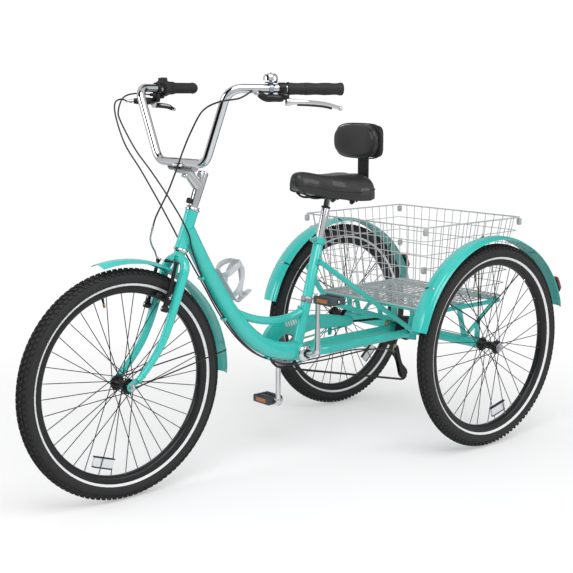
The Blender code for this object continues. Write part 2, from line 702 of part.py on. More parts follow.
def chain_guard():
    """Thin plate outboard of the chain: a disc round the chainring and a bar back along the chain."""
    x = -CHAIN_LINE - 0.0060
    half = 0.0010
    disc = CHAINRING_RADIUS + 0.0360
    opening = 0.045
    bar_end = BRACKET_Y + 0.292
    outer_turns = np.radians(np.linspace(200, 70, 12))
    outline = [(BRACKET_Y + disc * math.cos(a), BRACKET_Z + disc * math.sin(a)) for a in outer_turns]
    outline += [
        (BRACKET_Y + 0.150, BRACKET_Z + 0.092),
        (bar_end - 0.020, BRACKET_Z + 0.066),
        (bar_end, BRACKET_Z + 0.054),
        (bar_end - 0.012, BRACKET_Z + 0.036),
        (BRACKET_Y + 0.120, BRACKET_Z + 0.048),
    ]
    for a in np.radians(np.linspace(40, 200, 9)):
        outline.append((BRACKET_Y + opening * math.cos(a), BRACKET_Z + opening * math.sin(a)))
    tab_low = (x - half, BRACKET_Y + 0.190, AXLE_Z + 0.040)
    tab = block(tab_low, (x + half, BRACKET_Y + 0.206, AXLE_Z + 0.070))
    solid("chain_guard", TEAL, [plate(outline, x - half, x + half), tab])


# ---- fork and steering --------------------------------------------------------------------
def blade_path(side):
    """Straight beside the steering axis, then curving ahead as the square of the way down."""
    bend_start = 0.200
    path = []
    for drop, share in ((0.0, 0.085), (0.004, 0.62), (0.022, 0.94), (0.050, 1.0)):
        path.append(steering_point(CROWN_S - drop, 0, side * BLADE_SPREAD * share))
    for s in (0.250, 0.200, 0.150, 0.110, 0.075, 0.045, 0.020):
        ahead = FORK_RAKE * (1 - s / bend_start) ** 2 if s < bend_start else 0.0
        path.append(steering_point(s, ahead, side * BLADE_SPREAD))
    return np.array(path)


def fork():
    """Two tapered blades bent in at the crown, a hollow steerer and plate dropouts."""
    blades = []
    dropouts = []
    inner_x = FRONT_FLANGE_SPACING / 2 + HUB_OVERHANG + DROPOUT_SPACE
    outer_x = inner_x + FORK_DROPOUT
    for side in (1, -1):
        path = blade_path(side)
        taper = np.linspace(BLADE_RADIUS, BLADE_TIP_RADIUS, len(path) - 4)
        blades.append(swept(path, np.concatenate([[BLADE_RADIUS] * 4, taper]), 10))
        start = (side * inner_x, FRONT_AXLE_Y, AXLE_Z)
        dropouts.append(rod(start, (side * outer_x, FRONT_AXLE_Y, AXLE_Z), 0.0130, 12))
        low_x, high_x = sorted((side * inner_x, side * outer_x))
        low = (low_x, FRONT_AXLE_Y, AXLE_Z - 0.006)
        dropouts.append(block(low, (high_x, path[-1][1] + 0.004, AXLE_Z + 0.016)))
    steerer_top = steering_point(HEAD_TOP_S + CUP_HEIGHT + STEERER_PROUD)
    steerer = rod(steering_point(CROWN_S - 0.004), steerer_top, STEERER_RADIUS, 16)
    seat_top = steering_point(HEAD_BOTTOM_S - CUP_HEIGHT - 2 * GAP)
    seat = rod(steering_point(CROWN_S - 0.002), seat_top, 0.0165, 16)
    bore_foot = steering_point(HEAD_BOTTOM_S - 0.002)
    bore = rod(bore_foot, steerer_top + STEER_UP * PAST, QUILL_RADIUS + GAP, 16)
    hole = rod((-0.08, FRONT_AXLE_Y, AXLE_Z), (0.08, FRONT_AXLE_Y, AXLE_Z), FRONT_AXLE_RADIUS + GAP, 12)
    solid("fork", TEAL, [steerer, seat] + blades + dropouts, [bore, hole])


def brake_arms():
    """Long linear-pull arms ahead of the blades, each with a pad beside the rim."""
    for name, side in (("left_brake_arm", 1), ("right_brake_arm", -1)):
        ahead = BLADE_RADIUS + 0.0140
        low = steering_point(0.235, ahead, side * 0.0440)
        mid = steering_point(0.290, ahead + 0.002, side * 0.0450)
        top_s = CROWN_S - 0.017
        top = steering_point(top_s, ahead + 0.006, side * 0.0440)
        arm = swept([low, mid, top], [0.0060, 0.0055, 0.0045], 6)
        boss_start = low - STEER_AHEAD * (ahead - BLADE_RADIUS - GAP)
        boss = rod(boss_start, low, 0.0080, 10)
        rim_s = math.sqrt((RIM_OUTER - 0.010) ** 2 - (FORK_RAKE - ahead) ** 2)
        pad_axes = [[1, 0, 0], STEER_AHEAD, STEER_UP]
        pad_x = RIM_WIDTH / 2 + PAD_GAP + PAD_THICKNESS / 2
        pad_centre = steering_point(rim_s, ahead, side * pad_x)
        pad = slab(pad_centre, pad_axes, [PAD_THICKNESS, 0.050, 0.012])
        stud = rod(pad_centre, steering_point(rim_s, ahead, side * 0.0445), 0.0040, 8)
        solid(name, BLACK_METAL, [arm, boss, pad, stud])


def stem():
    """Quill in the steerer, shoulder, and a short arm to the bar clamp."""
    low = steering_point(HEAD_BOTTOM_S + 0.012)
    top = steering_point(STEM_TOP_S)
    neck = HEAD_TOP_S + CUP_HEIGHT + STEERER_PROUD + 2 * GAP
    quill = rod(low, steering_point(neck + 0.002), QUILL_RADIUS, 16)
    post = rod(steering_point(neck), top, STEERER_RADIUS, 16)
    arm_start = steering_point(STEM_TOP_S - 0.045)
    arm = swept([arm_start, CLAMP_CENTRE + [0, 0.006, -0.004]], [0.0100, 0.0095], 10)
    half = np.array([STEM_CLAMP_LENGTH / 2, 0, 0])
    bar_hole = around(BAR_RADIUS, 16)
    clamp = collar(CLAMP_CENTRE - half, (1, 0, 0), STEM_CLAMP_LENGTH, 0.0200, bar_hole, 16)
    bar_bore = rod(CLAMP_CENTRE - 2 * half, CLAMP_CENTRE + 2 * half, bar_hole, 16)
    solid("stem", CHROME, [post, quill, arm, clamp], [bar_bore])


def bar_corners(side):
    """Low bend, upper bend and grip end of one half of the bar."""
    low = CLAMP_CENTRE + [side * BAR_LOW_HALF_WIDTH, -0.005, BAR_LOW_LIFT]
    high = CLAMP_CENTRE + [side * BAR_TOP_HALF_WIDTH, -BAR_FORWARD, BAR_RISE]
    end = CLAMP_CENTRE + [side * BAR_HALF_WIDTH, BAR_SWEEP - BAR_FORWARD, BAR_RISE - 0.002]
    return low, high, end


def grip_place(side, back):
    """The point `back` from a grip's end, with the bar's direction, its outer side and upwards."""
    _, high, end = bar_corners(side)
    along = (end - high) / np.linalg.norm(end - high)
    outer = np.cross(along, [0, 0, 1])
    outer *= math.copysign(1, outer[0] * side) / np.linalg.norm(outer)
    return end - along * back, along, outer, np.cross(outer, along) * side


def handlebar():
    low, high, end = bar_corners(1)
    low_r, high_r, end_r = bar_corners(-1)
    flat_left = CLAMP_CENTRE + [0.040, 0, 0]
    flat_right = CLAMP_CENTRE - [0.040, 0, 0]
    inset = grip_place(1, BAR_INSET)[0], grip_place(-1, BAR_INSET)[0]
    right_half = filleted([inset[1], high_r, low_r, flat_right], 0.045, 4)
    left_half = filleted([flat_left, low, high, inset[0]], 0.045, 4)
    solid("handlebar", CHROME, [swept(np.vstack([right_half, left_half]), BAR_RADIUS, 12)])


def grips():
    """Moulded grips, closed at the bar's ends; the right one is short, beside the twist shifter."""
    for name, side, length in (
        ("left_grip", 1, LEFT_GRIP_LENGTH),
        ("right_grip", -1, RIGHT_GRIP_LENGTH),
    ):
        start, along, _, _ = grip_place(side, length)
        stations = [
            (0, GRIP_RADIUS),
            (length * 0.6, GRIP_RADIUS + 0.0005),
            (length - 0.004, GRIP_RADIUS + 0.0010),
            (length, GRIP_RADIUS),
        ]
        bore_end = start + along * (length - BAR_INSET + 0.0004)
        bore = rod(start - along * PAST, bore_end, around(BAR_RADIUS, 12), 12)
        solid(name, RUBBER, [turned(stations, start, along, 16)], [bore])


def lever_set(side, name, back, drop):
    """A clamp bracket under the bar, and the lever that pivots at its outer end."""
    place_at, along, outer, up = grip_place(side, back)
    ring = collar(place_at, along, 0.020, BAR_RADIUS + 0.0045, around(BAR_RADIUS, 12), 12)
    middle = place_at - along * 0.016 - up * drop + outer * 0.012
    axes = [along, outer, up]
    body = slab(middle, axes, [0.050, 0.015, 0.014])
    barrel = rod(middle - along * 0.040, middle, 0.0050, 8)
    neck_centre = place_at + along * 0.010 - up * (BAR_RADIUS + drop) / 2
    neck = slab(neck_centre, axes, [0.014, 0.020, drop - BAR_RADIUS + 0.002])
    ear = slab(middle + along * 0.0300 + outer * 0.0030, axes, [0.018, 0.020, 0.0030])
    bore = rod(place_at - along * 0.03, place_at + along * 0.06, around(BAR_RADIUS, 12), 12)
    pivot = middle + along * 0.032 + outer * 0.006
    lever_bore = rod(pivot - up * PAST, pivot + up * PAST, 0.0026, 8)
    solid(name + "_lever_bracket", BLACK_METAL, [ring, neck, body, barrel, ear], [bore, lever_bore])
    reach = [
        pivot - up * 0.0095,
        pivot + along * 0.018 + outer * 0.009 - up * 0.0105,
        pivot + along * 0.060 + outer * 0.015 - up * 0.0120,
        pivot + along * 0.110 + outer * 0.013 - up * 0.0170,
        pivot + along * 0.150 + outer * 0.018 - up * 0.0280,
    ]
    blade = swept(smooth_path(reach, 9), 0.0048, 8, flatten=1.5)
    ball_stations = [(-0.007, 0.003), (-0.004, 0.0062), (0.004, 0.0062), (0.007, 0.003)]
    ball = turned(ball_stations, reach[-1], along, 8)
    pin = rod(pivot - up * 0.0100, pivot + up * 0.0030, 0.0020, 8)
    solid(name + "_brake_lever", STEEL, [blade, ball, pin])


def shifter():
    """Twist shifter: fixed housing with its window, and the sleeve that turns on the bar."""
    sleeve_start, along, outer, up = grip_place(-1, RIGHT_GRIP_LENGTH + GAP + TWIST_LENGTH)
    sleeve = collar(sleeve_start, along, TWIST_LENGTH, 0.0205, around(BAR_RADIUS, 16, RUNNING), 16)
    solid("twist_shifter", RUBBER, [sleeve])
    start = sleeve_start - along * (SHIFTER_LENGTH + RUNNING)
    drum = collar(start, along, SHIFTER_LENGTH, 0.0255, around(BAR_RADIUS, 16), 16)
    window = slab(start + along * 0.012 + up * 0.0250, [along, outer, up], [0.022, 0.024, 0.014])
    entry = rod(start + along * 0.006 - outer * 0.020, start - along * 0.022 - outer * 0.026, 0.0042, 8)
    bore = rod(start - along * 0.03, start + along * 0.05, around(BAR_RADIUS, 12), 12)
    solid("shifter_housing", BLACK_PLASTIC, [drum, window, entry], [bore])


def bell():
    """Domed bell on a band round the bar, with its thumb lever."""
    start, along, outer, up = grip_place(1, LEFT_GRIP_LENGTH + 0.052)
    ring = collar(start, along, 0.012, BAR_RADIUS + 0.0035, around(BAR_RADIUS, 12), 12)
    base = start + along * 0.006 + up * (BAR_RADIUS + 0.0020)
    stalk = rod(base, base + up * 0.010, 0.0060, 8)
    dome = turned([(0.008, 0.0205), (0.020, 0.0205), (0.027, 0.0165), (0.030, 0.0085)], base, up, 18)
    bore = rod(start - along * 0.02, start + along * 0.03, around(BAR_RADIUS, 12), 12)
    solid("bell_dome", CHROME, [ring, stalk, dome], [bore])
    pivot = base + along * 0.0140 + up * 0.0040
    lever = [pivot, pivot + outer * 0.014, pivot + outer * 0.026 + along * 0.010]
    hub_piece = turned([(-0.0030, 0.0045), (0.0030, 0.0045)], pivot, up, 8)
    solid("bell_lever", BLACK_PLASTIC, [hub_piece, swept(lever, 0.0024, 6)])


# ---- drive --------------------------------------------------------------------------------
def crank():
    """One-piece crank: left arm up, right arm down, bent round the bracket, with pedal spindles."""
    tip = CRANK_ARM_OFFSET
    half = BRACKET_SHELL_WIDTH / 2 + 0.0390
    centre = np.array([0, BRACKET_Y, BRACKET_Z])
    left = np.array([(half - 0.004, 0, 0), (half + 0.006, 0, 0.022), (tip, 0, CRANK_LENGTH)])
    points = np.vstack([-left[::-1], left]) + centre
    arms = swept(filleted(points, 0.010, 3), CRANK_RADIUS, 10)
    extras = []
    for side in (1, -1):
        boss = centre + [side * tip, 0, side * CRANK_LENGTH]
        extras.append(rod(boss - [side * 0.008, 0, 0], boss + [side * 0.008, 0, 0], 0.0135, 12))
        spindle_end = boss + [side * (0.012 + PEDAL_WIDTH), 0, 0]
        extras.append(rod(boss, spindle_end, SPINDLE_RADIUS, 8))
    solid("crank", CHROME, [arms] + extras)


def pedals():
    for name, side in (("left_pedal", 1), ("right_pedal", -1)):
        inner = CRANK_ARM_OFFSET + 0.0085
        x = side * (inner + PEDAL_WIDTH / 2)
        z = BRACKET_Z + side * CRANK_LENGTH
        half = np.array([PEDAL_WIDTH, PEDAL_LENGTH, PEDAL_HEIGHT]) / 2
        centre = np.array([x, BRACKET_Y, z])
        body = block(centre - half, centre + half)
        windows = []
        for y in (-1, 1):
            mid = centre + [0, y * (half[1] * 0.54), 0]
            size = np.array([half[0] - 0.010, half[1] * 0.28, half[2] + 0.01])
            windows.append(block(mid - size, mid + size))
        reach = np.array([half[0] + PAST, 0, 0])
        spindle = rod(centre - reach, centre + reach, SPINDLE_RADIUS + RUNNING, 12)
        solid(name, BLACK_PLASTIC, [body], windows + [spindle])


def toothed(radius, teeth, depth):
    """The (y, z) outline of a sprocket: a valley and a tip for every tooth."""
    outline = []
    for k in range(teeth):
        for share, r in ((0.0, radius - depth), (0.5, radius)):
            turn = 2 * math.pi * (k + share) / teeth
            outline.append((r * math.cos(turn), r * math.sin(turn)))
    return outline


def chainring():
    x = -CHAIN_LINE
    inner = CHAINRING_RADIUS - CHAIN_HEIGHT / 2 - CHAIN_SLACK
    outline = [(BRACKET_Y + y, BRACKET_Z + z) for y, z in toothed(inner, CHAINRING_TEETH, 0.0030)]
    disc = plate(outline, x - 0.0015, x + 0.0015)
    holes = [rod((x - 0.01, BRACKET_Y, BRACKET_Z), (x + 0.01, BRACKET_Y, BRACKET_Z), 0.0095, 16)]
    for k in range(5):
        turn = 2 * math.pi * k / 5
        y, z = BRACKET_Y + 0.035 * math.cos(turn), BRACKET_Z + 0.035 * math.sin(turn)
        holes.append(rod((x - 0.01, y, z), (x + 0.01, y, z), 0.0110, 8))
    solid("chainring", STEEL, [disc], holes)


def freewheel():
    """Seven sprockets turned as one stepped block around the axle."""
    width = 0.0032
    half = width * SPROCKETS / 2
    bore = REAR_AXLE_RADIUS + RUNNING
    top = FREEWHEEL_RADIUS - CHAIN_HEIGHT / 2 - CHAIN_SLACK
    profile = [(-half, bore)]
    for k in range(SPROCKETS):
        step = max(0, k - SPROCKETS // 2) * SPROCKET_STEP
        x = -half + k * width
        profile += [(x, top - step), (x + width, top - step)]
    profile.append((half, bore))
    centre = (-CHAIN_LINE, REAR_AXLE_Y, AXLE_Z)
    solid("freewheel", STEEL, [revolved(profile, centre, 20, fit=False)])


def belt_path(circles, steps=7):
    """Tangents and arcs round (y, z, radius, turn) circles, taken in order; turn is +1 or -1."""
    count = len(circles)
    lines = []
    for k in range(count):
        (y1, z1, r1, s1), (y2, z2, r2, s2) = circles[k], circles[(k + 1) % count]
        gap = np.array([y2 - y1, z2 - z1])
        length = np.linalg.norm(gap)
        share = (s1 * r1 - s2 * r2) / length
        along = gap / length
        side = np.array([along[1], -along[0]])
        normal = along * share + side * math.sqrt(1 - share * share)
        lines.append((np.array([y1, z1]) + s1 * r1 * normal, np.array([y2, z2]) + s2 * r2 * normal))
    path = []
    for k in range(count):
        y, z, r, s = circles[k]
        enter = lines[k - 1][1] - [y, z]
        leave = lines[k][0] - [y, z]
        first = math.atan2(enter[1], enter[0])
        sweep = (math.atan2(leave[1], leave[0]) - first) * s % (2 * math.pi)
        for t in np.linspace(0, 1, max(3, int(steps * sweep))):
            turn = first + s * sweep * t
            path.append((y + r * math.cos(turn), z + r * math.sin(turn)))
    return np.array(path)


def chain():
    """The whole chain as one flat loop on its pitch line."""
    pulley = PULLEY_RADIUS + CHAIN_HEIGHT / 2
    circles = [
        (BRACKET_Y, BRACKET_Z, CHAINRING_RADIUS, -1),
        (REAR_AXLE_Y, AXLE_Z, FREEWHEEL_RADIUS, -1),
        (GUIDE_PULLEY[1], GUIDE_PULLEY[2], pulley, 1),
        (TENSION_PULLEY[1], TENSION_PULLEY[2], pulley, -1),
    ]
    path = belt_path(circles, 4)
    ahead = np.roll(path, -1, axis=0) - np.roll(path, 1, axis=0)
    ahead /= np.linalg.norm(ahead, axis=1)[:, None]
    side = np.stack([ahead[:, 1], -ahead[:, 0]], axis=1)
    h = CHAIN_HEIGHT / 2 - GAP
    w = CHAIN_WIDTH / 2
    section = ((-w, -h), (w, -h), (w, h), (-w, h))
    rings = [
        [(-CHAIN_LINE + dx, p[0] + n[0] * d, p[1] + n[1] * d) for dx, d in section]
        for p, n in zip(path, side)
    ]
    solid("chain", BLACK_METAL, [loft(rings, closed=True)])


def derailleur():
    """Upper body on its hanger, the cage, and the two pulleys in it."""
    x = -CHAIN_LINE
    outer_x = x - 0.0170
    pivot = GUIDE_PULLEY + [outer_x - x, 0, 0]
    knuckle = np.array([outer_x - 0.004, REAR_AXLE_Y + 0.006, AXLE_Z - 0.0300])
    arm = swept([knuckle, pivot + [-0.004, 0.002, 0.016]], [0.0090, 0.0075], 8)
    pad = rod(knuckle - [0.010, 0, 0], knuckle + [0.004, 0, 0], 0.0120, 10)
    solid("derailleur_body", BLACK_METAL, [arm, pad])
    guide = GUIDE_PULLEY[1:]
    tension = TENSION_PULLEY[1:]
    down = (tension - guide) / np.linalg.norm(tension - guide) * 0.010
    across = np.array([down[1], -down[0]]) * 0.6
    outline = [guide - down - across, guide - down + across]
    outline += [tension + down + across, tension + down - across]
    cage_out = x - 0.0085
    body = [plate(outline, start, start + 0.002) for start in (cage_out - 0.001, x + 0.0055)]
    for y, z in (guide, tension):
        body.append(rod((cage_out, y, z), (x + 0.0065, y, z), PULLEY_PIN_RADIUS, 8))
    body.append(rod((cage_out, *guide), (outer_x + 0.0045, *guide), 0.0060, 10))
    solid("derailleur_cage", BLACK_METAL, body)
    half = 0.0020
    bore = PULLEY_PIN_RADIUS + RUNNING
    edge = PULLEY_RADIUS - GAP
    profile = [(-half, bore), (-half, edge), (half, edge), (half, bore)]
    for name, centre in (("guide_pulley", GUIDE_PULLEY), ("tension_pulley", TENSION_PULLEY)):
        solid(name, BLACK_PLASTIC, [revolved(profile, centre, 14, fit=False)])


def rear_brake():
    """Band brake housing beside the freewheel, with the arm its cable pulls."""
    centre = np.array([-0.0190, REAR_AXLE_Y, AXLE_Z])
    half = 0.0110
    bore = REAR_AXLE_RADIUS + RUNNING
    edge = 0.0420
    profile = [(-half, bore), (-half, edge), (half, edge), (half, bore)]
    offset = np.array([0, -0.0480, -0.0200])
    out = offset / np.linalg.norm(offset)
    pivot = centre + offset
    eye_half = 0.0040
    ears = []
    for side in (1, -1):
        middle = centre + out * edge + [side * (eye_half + GAP + 0.0015), 0, 0]
        ears.append(slab(middle, [[1, 0, 0], out, np.cross([1, 0, 0], out)], [0.0030, 0.0300, 0.0100]))
    drum = revolved(profile, centre, 20, fit=False)
    solid("rear_brake_housing", BLACK_METAL, [drum] + ears)
    eye = rod(pivot - [eye_half, 0, 0], pivot + [eye_half, 0, 0], 0.0050, 8)
    arm = swept([pivot, pivot + [0, -0.010, -0.040]], [0.0040, 0.0035], 6)
    solid("rear_brake_arm", BLACK_METAL, [eye, arm])


# ---- seat ---------------------------------------------------------------------------------
def seatpost():
    """Post in the seat tube, with its narrower top under the saddle clamp."""
    step = SEATPOST_INSERTION + SEATPOST_EXPOSED
    top = SEATPOST_INSERTION + SADDLE_RISE - POST_TOP_DROP
    stations = [
        (0, SEATPOST_RADIUS),
        (step, SEATPOST_RADIUS),
        (step, POST_NECK_RADIUS),
        (top, POST_NECK_RADIUS),
    ]
    foot = SEAT_TUBE_TOP - SEAT_UP * SEATPOST_INSERTION
    solid("seatpost", CHROME, [turned(stations, foot, SEAT_UP, 16)])


# Distance behind the clamp, half width, top, skirt and underside heights above the clamp.
SADDLE_STATIONS = [
    (-0.152, 0.016, 0.066, 0.030, 0.032),
    (-0.145, 0.026, 0.076, 0.020, 0.026),
    (-0.115, 0.033, 0.079, 0.013, 0.026),
    (-0.075, 0.045, 0.074, 0.004, 0.028),
    (-0.040, 0.066, 0.069, -0.004, 0.030),
    (-0.005, 0.093, 0.066, -0.010, 0.032),
    (0.035, 0.114, 0.066, -0.014, 0.033),
    (0.070, 0.121, 0.067, -0.014, 0.033),
    (0.100, 0.110, 0.066, -0.008, 0.032),
    (0.118, 0.085, 0.060, 0.004, 0.030),
]


def saddle():
    """Wide padded saddle: crowned top, skirts at both sides and a hollow underside."""
    rings = []
    for y, half, top, skirt, under in SADDLE_STATIONS:
        profile = [
            (0.0, top - 0.004),
            (0.35, top),
            (0.70, top - 0.010),
            (0.93, (top + skirt) / 2 + 0.008),
            (1.0, (top + 2 * skirt) / 3),
            (0.96, skirt),
            (0.84, skirt + 0.001),
            (0.72, under - 0.002),
            (0.0, under),
        ]
        mirrored = profile + [(-u, z) for u, z in profile[-2:0:-1]]
        rings.append([SADDLE_CLAMP + [half * u, y, z] for u, z in mirrored])
    solid("saddle", LEATHERETTE, [loft(rings)])


def saddle_frame():
    """Base plate, two rails, two springs and the clamp on the seatpost."""
    at = SADDLE_CLAMP
    top = 0.0200
    pieces = [block(at + [-0.022, -0.110, 0.014], at + [0.022, 0.085, top])]
    rail = np.array([(16, -106, 14), (20, -70, -4), (30, 30, -8), (44, 75, -6)]) / 1000
    for side in (1, -1):
        pieces.append(swept(rail * [side, 1, 1] + at, 0.0036, 6))
        spring = at + [side * 0.044, 0.068, 0]
        pieces.append(rod(spring - [0, 0, 0.012], spring + [0, 0, top], 0.0130, 10))
    pieces.append(block(at + [-0.046, 0.055, 0.0145], at + [0.046, 0.080, 0.0195]))
    clamp = rod(at - SEAT_UP * 0.034, at + SEAT_UP * 0.003, 0.0150, 12)
    bridge = rod(at + [-0.036, -0.002, -0.007], at + [0.036, -0.002, -0.007], 0.0090, 10)
    bore = rod(SEAT_TUBE_TOP, at - SEAT_UP * (POST_TOP_DROP - GAP), POST_NECK_RADIUS + GAP, 16)
    solid("saddle_frame", BLACK_METAL, [clamp, bridge] + pieces, [bore])


def backrest():
    """Flat post that rises behind the saddle, and the padded rest on its front."""
    back = SADDLE_CLAMP[1] + BACKREST_SETBACK
    x = 0.0225
    z = SADDLE_CLAMP[2]
    foot_z = z - 0.0150
    outline = [
        (back - 0.075, foot_z - BACKREST_THICKNESS),
        (back, foot_z - BACKREST_THICKNESS),
        (back + BACKREST_THICKNESS, foot_z),
        (back + BACKREST_THICKNESS, z + 0.200),
        (back, z + 0.200),
        (back, foot_z + 0.004),
        (back - 0.006, foot_z),
        (back - 0.075, foot_z),
    ]
    post = loft([[(side, y, h) for y, h in outline] for side in (-x, x)])
    solid("backrest_post", BLACK_METAL, [post])
    rings = []
    thick = 0.058
    front = back - GAP - thick
    for share, grow in ((0.0, 0.72), (0.10, 0.90), (0.35, 1.0), (0.70, 1.0), (0.93, 0.93), (1.0, 0.80)):
        y = front + thick * share
        ring = []
        for t in (np.arange(16) + 0.5) * 2 * math.pi / 16:
            cx = math.copysign(abs(math.cos(t)) ** 0.6, math.cos(t))
            cz = math.copysign(abs(math.sin(t)) ** 0.6, math.sin(t))
            ring.append((0.105 * grow * cx, y, z + 0.166 + 0.056 * grow * cz))
        rings.append(ring)
    solid("backrest_pad", LEATHERETTE, [loft(rings)])


# ---- basket and cage ----------------------------------------------------------------------
def basket_sizes():
    top_x = HALF_TRACK - FENDER_HALF_WIDTH - BASKET_CLEARANCE
    return top_x, top_x - BASKET_TAPER, BASKET_HALF_LENGTH, BASKET_HALF_LENGTH - BASKET_END_TAPER


def basket():
    """Open-topped tray that widens upwards, the outer shape of the wire basket."""
    top_x, low_x, top_y, low_y = basket_sizes()
    z0 = RACK_Z + GAP + 0.0002
    z1 = z0 + BASKET_HEIGHT
    corners = ((1, 1), (-1, 1), (-1, -1), (1, -1))
    w = BASKET_WALL

    def ring(x, y, z):
        return [(a * x, REAR_AXLE_Y + b * y, z) for a, b in corners]

    lift = w / BASKET_HEIGHT
    floor_x = low_x + (top_x - low_x) * lift - w
    floor_y = low_y + (top_y - low_y) * lift - w
    rings = [
        ring(low_x, low_y, z0),
        ring(top_x, top_y, z1),
        ring(top_x - w, top_y - w, z1),
        ring(floor_x, floor_y, z0 + w),
    ]
    solid("basket", WHITE_WIRE, [loft(rings)])


def bottle_cage():
    """Moulded cage on the down tube: a back strip, a foot and two hoops round the bottle."""
    path = down_tube_path(14)
    low = path[4]
    high = path[2]
    along = (high - low) / np.linalg.norm(high - low)
    up = np.cross([1, 0, 0], along) * -1
    up *= math.copysign(1, up[2])
    lift = DOWN_TUBE_RADIUS + 0.0055
    strip = slab((low + high) / 2 + up * (lift + 0.002), [[1, 0, 0], along, up], [0.020, 0.125, 0.0034])
    bottle = 0.037
    axis_low = low + up * (lift + bottle + 0.003) - along * 0.008
    foot = turned([(0, 0.0300), (0.004, 0.0300)], axis_low, along, 14)
    tie = slab(axis_low + along * 0.002 - up * 0.020, [[1, 0, 0], along, up], [0.020, 0.0038, 0.046])
    hoop = collar(axis_low + along * 0.110, along, 0.008, bottle + 0.0040, bottle, 18)
    arms = []
    for side in (1, -1):
        start = axis_low + along * 0.002 + np.array([side * 0.026, 0, 0]) + up * 0.006
        middle = axis_low + along * 0.055 + np.array([side * (bottle + 0.0045), 0, 0])
        end = axis_low + along * 0.112 + np.array([side * (bottle + 0.0020), 0, 0])
        arms.append(swept([start, middle, end], 0.0034, 6))
    solid("bottle_cage", WHITE_PLASTIC, [strip, foot, tie, hoop] + arms)


# ---- cables -------------------------------------------------------------------------------
def cable(name, points, count):
    """Outer casing along a smooth curve through hand-chosen points."""
    path = smooth_path(np.array(points) / 1000, count)
    curve = bpy.data.curves.new(name, "CURVE")
    curve.dimensions = "3D"
    curve.bevel_depth = CABLE_RADIUS
    curve.bevel_resolution = 2
    curve.use_fill_caps = True
    spline = curve.splines.new("POLY")
    spline.points.add(len(path) - 1)
    for point, at in zip(spline.points, path):
        point.co = (*at, 1)
    curve.materials.append(material(name, BLACK_PLASTIC))
    made = bpy.data.objects.new(name, curve)
    bpy.context.scene.collection.objects.link(made)


# Points in millimetres that each casing passes through.
FRONT_BRAKE_ROUTE = [
    (254, -308, 1124), (246, -362, 1123), (233, -420, 1114), (190, -442, 1090), (150, -452, 1034),
    (105, -448, 978), (60, -438, 926), (30, -448, 861), (0, -467, 794), (-12, -473, 754),
    (-22, -473, 728), (-32, -462, 706), (-41, -446, 688),
]
SHIFT_ROUTE = [
    (-250, -412, 1111), (-232, -427, 1053), (-172, -418, 974), (-120, -402, 915), (-75, -386, 858),
    (-20, -392, 818), (14, -392, 786), (27, -374, 738), (24, -360, 690), (8, -306, 590), (6, -240, 482),
    (6, -177, 404), (6, -114, 350), (8, -48, 316), (12, 22, 292), (45, 140, 296), (45, 320, 300), (30, 430, 286),
    (-10, 500, 262), (-40, 530, 276),
]
REAR_BRAKE_ROUTE = [
    (-256, -425, 1114), (-238, -438, 1062), (-196, -436, 986), (-150, -414, 913),
    (-92, -398, 832), (-55, -392, 784), (-29, -382, 740), (-22, -356, 685), (-8, -306, 590),
    (-6, -240, 482), (-6, -177, 404), (-6, -114, 350), (-6, -48, 316), (-4, 22, 292), (-8, 140, 290),
    (-16, 320, 290), (-19, 430, 276),
]


def cables():
    cable("front_brake_cable", FRONT_BRAKE_ROUTE, 22)
    cable("shift_cable", SHIFT_ROUTE, 36)
    cable("rear_brake_cable", REAR_BRAKE_ROUTE, 34)


# ---- the whole tricycle -------------------------------------------------------------------
def tricycle():
    main_frame()
    seat_stays()
    headset_cups()
    bracket_cup()
    seat_clamp()
    rear_frame()
    chain_guard()
    fork()
    front_fender()
    front_axle()
    brake_arms()
    stem()
    handlebar()
    grips()
    lever_set(1, "left", LEFT_GRIP_LENGTH + 0.024, BAR_RADIUS + 0.0120)
    right_back = RIGHT_GRIP_LENGTH + TWIST_LENGTH + SHIFTER_LENGTH + 0.030
    lever_set(-1, "right", right_back, BAR_RADIUS + 0.0260)
    shifter()
    bell()
    wheel("front", (0, FRONT_AXLE_Y, AXLE_Z), FRONT_FLANGE_SPACING, FRONT_AXLE_RADIUS + RUNNING)
    for name, side in (("left_rear", 1), ("right_rear", -1)):
        centre = (side * HALF_TRACK, REAR_AXLE_Y, AXLE_Z)
        wheel(name, centre, REAR_FLANGE_SPACING, REAR_AXLE_RADIUS + RUNNING)
        rear_fender(name + "_fender", side)
    rear_axle()
    crank()
    pedals()
    chainring()
    freewheel()
    chain()
    derailleur()
    rear_brake()
    seatpost()
    saddle()
    saddle_frame()
    backrest()
    basket()
    bottle_cage()
    cables()


clear_scene()
tricycle()
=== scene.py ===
import json
import math

